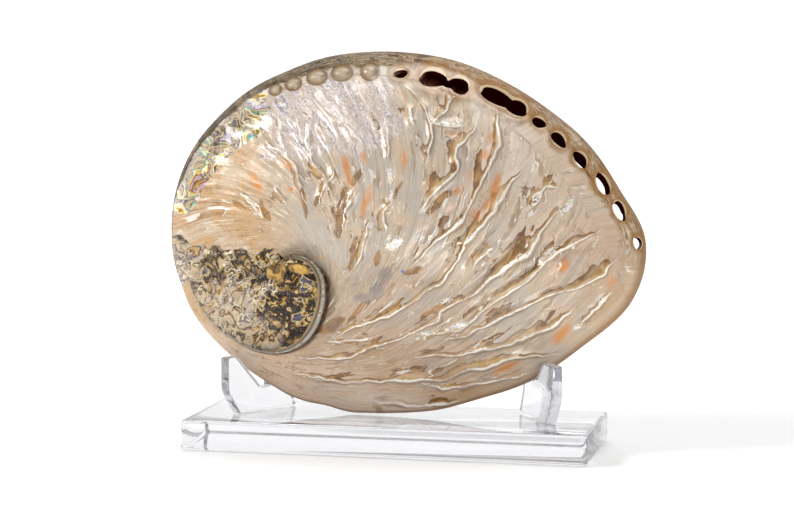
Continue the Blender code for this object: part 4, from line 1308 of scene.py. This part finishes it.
# %% The slab
def slab_mesh():
    """A rounded rectangle drawn in by a quarter circle at the top and the bottom: rows of one outline."""
    quarter = np.linspace(0.0, 0.5 * np.pi, CORNER_STEPS)
    corners = ((1, 1, 0.0), (-1, 1, 0.5), (-1, -1, 1.0), (1, -1, 1.5))
    radius = SLAB_CORNER_RADIUS
    half_length, half_depth = SLAB_LENGTH / 2 - radius, SLAB_DEPTH / 2 - radius
    middles = [np.tile([sx * half_length, sy * half_depth], (CORNER_STEPS, 1)) for sx, sy, _ in corners]
    middles = np.concatenate(middles)
    turns = np.concatenate([quarter + start * np.pi for _, _, start in corners])
    outwards = np.stack([np.cos(turns), np.sin(turns)], axis=-1)
    ease = np.linspace(0.0, 0.5 * np.pi, EDGE_ROWS)
    inset, level = SLAB_EDGE_CHAMFER * (1.0 - np.sin(ease)), SLAB_EDGE_CHAMFER * (1.0 - np.cos(ease))
    inset = np.concatenate([inset, inset[::-1]])
    level = np.concatenate([level, SLAB_HEIGHT - level[::-1]])
    count = len(middles)
    work = bmesh.new()
    made = []
    for drawn_in, up in zip(inset, level):
        ring = middles + outwards * (radius - drawn_in)
        made.append([work.verts.new((x * MM, y * MM, up * MM)) for x, y in ring])
    for lower, upper in zip(made[:-1], made[1:]):
        for index in range(count):
            after = (index + 1) % count
            work.faces.new((lower[index], lower[after], upper[after], upper[index]))
    work.faces.new(made[0][::-1])
    work.faces.new(made[-1])
    return shaded(turned_outwards(work, bpy.data.meshes.new("acrylic_slab")), SLAB_SHARPEST)


slab = new_piece(slab_mesh(), clear)
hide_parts("base")
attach(slab, "root")
print("slab has", len(slab.data.polygons), "faces")


# %% The brackets
def rounded(corners):
    """An outline with each corner, given as along, up and radius, turned into a short curve."""
    outline = []
    for index, (along, up, radius) in enumerate(corners):
        corner = Vector((along, up))
        if radius == 0.0:
            outline.append(corner)
            continue
        before = Vector(corners[index - 1][:2]) - corner
        after = Vector(corners[(index + 1) % len(corners)][:2]) - corner
        half = before.angle(after) / 2.0
        reach = min(radius / math.tan(half), 0.45 * before.length, 0.45 * after.length)
        start = corner + before.normalized() * reach
        end = corner + after.normalized() * reach
        for step in range(CORNER_STEPS):
            part = step / (CORNER_STEPS - 1)
            outline.append(start.lerp(corner, part).lerp(corner.lerp(end, part), part))
    return outline


def bracket_outline(hook_back, notch, arm_at):
    """The plate's side: a hook in front, a notch for the shell's lip, and an arm behind it."""
    notch_at, notch_height = notch
    climb = ARM_HEIGHT - notch_height
    back = math.tan(math.radians(LEAN)) / math.cos(math.radians(BRACKET_TURN)) * climb
    return rounded((
        (0.0, TOUCHING_GAP, 0.0),
        (-HOOK_BULGE, 0.42 * HOOK_HEIGHT, 9.0),
        (-HOOK_BULGE, HOOK_HEIGHT, 1.5),
        (hook_back, HOOK_HEIGHT, 1.5),
        (notch_at, notch_height, 1.0),
        (arm_at - 0.8, notch_height + 0.3, 0.8),
        (arm_at + back, ARM_HEIGHT, 2.4),
        (arm_at + back + ARM_WIDTH, ARM_HEIGHT, 3.0),
        (FOOT_LENGTH - 4.0, 10.0, 6.0),
        (FOOT_LENGTH, TOUCHING_GAP, 0.0)))


def make_bracket(name, node, side, front_foot, outline):
    """A bracket plate, side -1 for the left one and 1 for the right one, with finely bevelled edges."""
    turn = math.radians(BRACKET_TURN)
    along = Vector((-side * math.sin(turn), math.cos(turn), 0.0))
    across = Vector((math.cos(turn), side * math.sin(turn), 0.0))
    foot = Vector((*front_foot, SLAB_HEIGHT))
    work = bmesh.new()
    points = [foot + along * place.x + Vector((0.0, 0.0, place.y)) for place in outline]
    face = work.faces.new([work.verts.new((point - across * PLATE_THICKNESS / 2) * MM) for point in points])
    thick = bmesh.ops.extrude_face_region(work, geom=[face])
    moved = [item for item in thick["geom"] if isinstance(item, bmesh.types.BMVert)]
    bmesh.ops.translate(work, verts=moved, vec=across * PLATE_THICKNESS * MM)
    mesh = turned_outwards(work, bpy.data.meshes.new(name))
    piece = bevelled(new_piece(mesh, clear_plate), PLATE_BEVEL, BEVEL_STEPS)
    piece.data.name = name
    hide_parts(node)
    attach(piece, "root")
    return piece


left = make_bracket(
    "left_hooked_plate", "left_bracket", -1, LEFT_FOOT,
    bracket_outline(LEFT_HOOK_BACK, LEFT_NOTCH, LEFT_ARM_AT))
right = make_bracket(
    "right_hooked_plate", "right_bracket", 1, RIGHT_FOOT,
    bracket_outline(RIGHT_HOOK_BACK, RIGHT_NOTCH, RIGHT_ARM_AT))
print("brackets have", len(left.data.polygons), "and", len(right.data.polygons), "faces")

# %% [markdown]
# ## The studio
# A white floor runs up into a white backdrop, so no horizon shows. A large soft light from the left draws
# the crests, and dim surroundings in front let the gloss show its shape.

# %% Floor and backdrop
FLOOR_HALF_WIDTH = 6.0
FLOOR_FRONT = -6.0
FLOOR_BACK = 1.3
SWEEP_RADIUS = 0.9
BACKDROP_TOP = 2.6
FLOOR_DROP = 0.0002
SWEEP_STEPS = 24


def sweep_profile():
    """Along the floor, round a quarter circle and up: distance back and height."""
    bend = np.linspace(0.0, 0.5 * np.pi, SWEEP_STEPS)
    back = FLOOR_BACK + SWEEP_RADIUS * np.sin(bend)
    up = SWEEP_RADIUS * (1.0 - np.cos(bend)) - FLOOR_DROP
    return np.array([(FLOOR_FRONT, -FLOOR_DROP), *zip(back, up), (FLOOR_BACK + SWEEP_RADIUS, BACKDROP_TOP)])


def studio_white_glow():
    look = Finish("studio_white_glow")
    place = look.node("ShaderNodeTexCoord", out="Object")
    distance = look.node("ShaderNodeVectorMath", {"operation": "LENGTH"}, {0: place}, out="Value")
    # Painted light: floor and backdrop glow, less within a short reach of the object so that its shadow
    # shows
    far = look.step(distance, 0.35, 1.0)
    shader = look.node("ShaderNodeBsdfPrincipled", None, {
        "Base Color": (0.85, 0.85, 0.85, 1.0), "Roughness": 0.9, "Specular IOR Level": 0.1,
        "Emission Color": look.mix(far, (0.56, 0.56, 0.56), (1.0, 1.0, 1.0)), "Emission Strength": 0.5})
    return look.end(shader)


profile = sweep_profile()
sides = np.array([-FLOOR_HALF_WIDTH, FLOOR_HALF_WIDTH])
floor_points = [(x, y, z) for y, z in profile for x in sides]
floor_faces = [(2 * row, 2 * row + 1, 2 * row + 3, 2 * row + 2) for row in range(len(profile) - 1)]
floor_mesh = bpy.data.meshes.new("studio_floor")
floor_mesh.from_pydata(floor_points, [], floor_faces)
floor_mesh.shade_smooth()
new_piece(floor_mesh, studio_white_glow())


# %% Lights
def area_light(name, place, target, size, power, colour=(1.0, 1.0, 1.0)):
    """A soft rectangular light at place that looks at target."""
    light = bpy.data.lights.new(name, "AREA")
    light.shape = "RECTANGLE"
    light.size, light.size_y = size
    light.energy = power
    light.color = colour
    lamp = bpy.data.objects.new(name, light)
    lamp.location = place
    lamp.rotation_euler = (Vector(place) - Vector(target)).to_track_quat("Z", "Y").to_euler()
    bpy.context.scene.collection.objects.link(lamp)


middle = (0.0, 0.0, 0.07)
area_light("key_left", (-1.15, -0.55, 1.05), middle, (0.4, 0.4), 14.0)
area_light("top", (0.1, 0.35, 1.3), middle, (0.9, 0.5), 5.0)
area_light("front_fill", (0.8, -1.4, 0.25), middle, (0.9, 0.6), 8.0)

world = bpy.data.worlds.new("studio_air")
world.use_nodes = True
world.node_tree.nodes["Background"].inputs["Color"].default_value = (1.0, 1.0, 1.0, 1.0)
world.node_tree.nodes["Background"].inputs["Strength"].default_value = 0.35
bpy.context.scene.world = world
bpy.context.scene.view_settings.view_transform = "Standard"
bpy.context.scene.cycles.max_bounces = 24
bpy.context.scene.cycles.glossy_bounces = 16
bpy.context.scene.cycles.transmission_bounces = 24
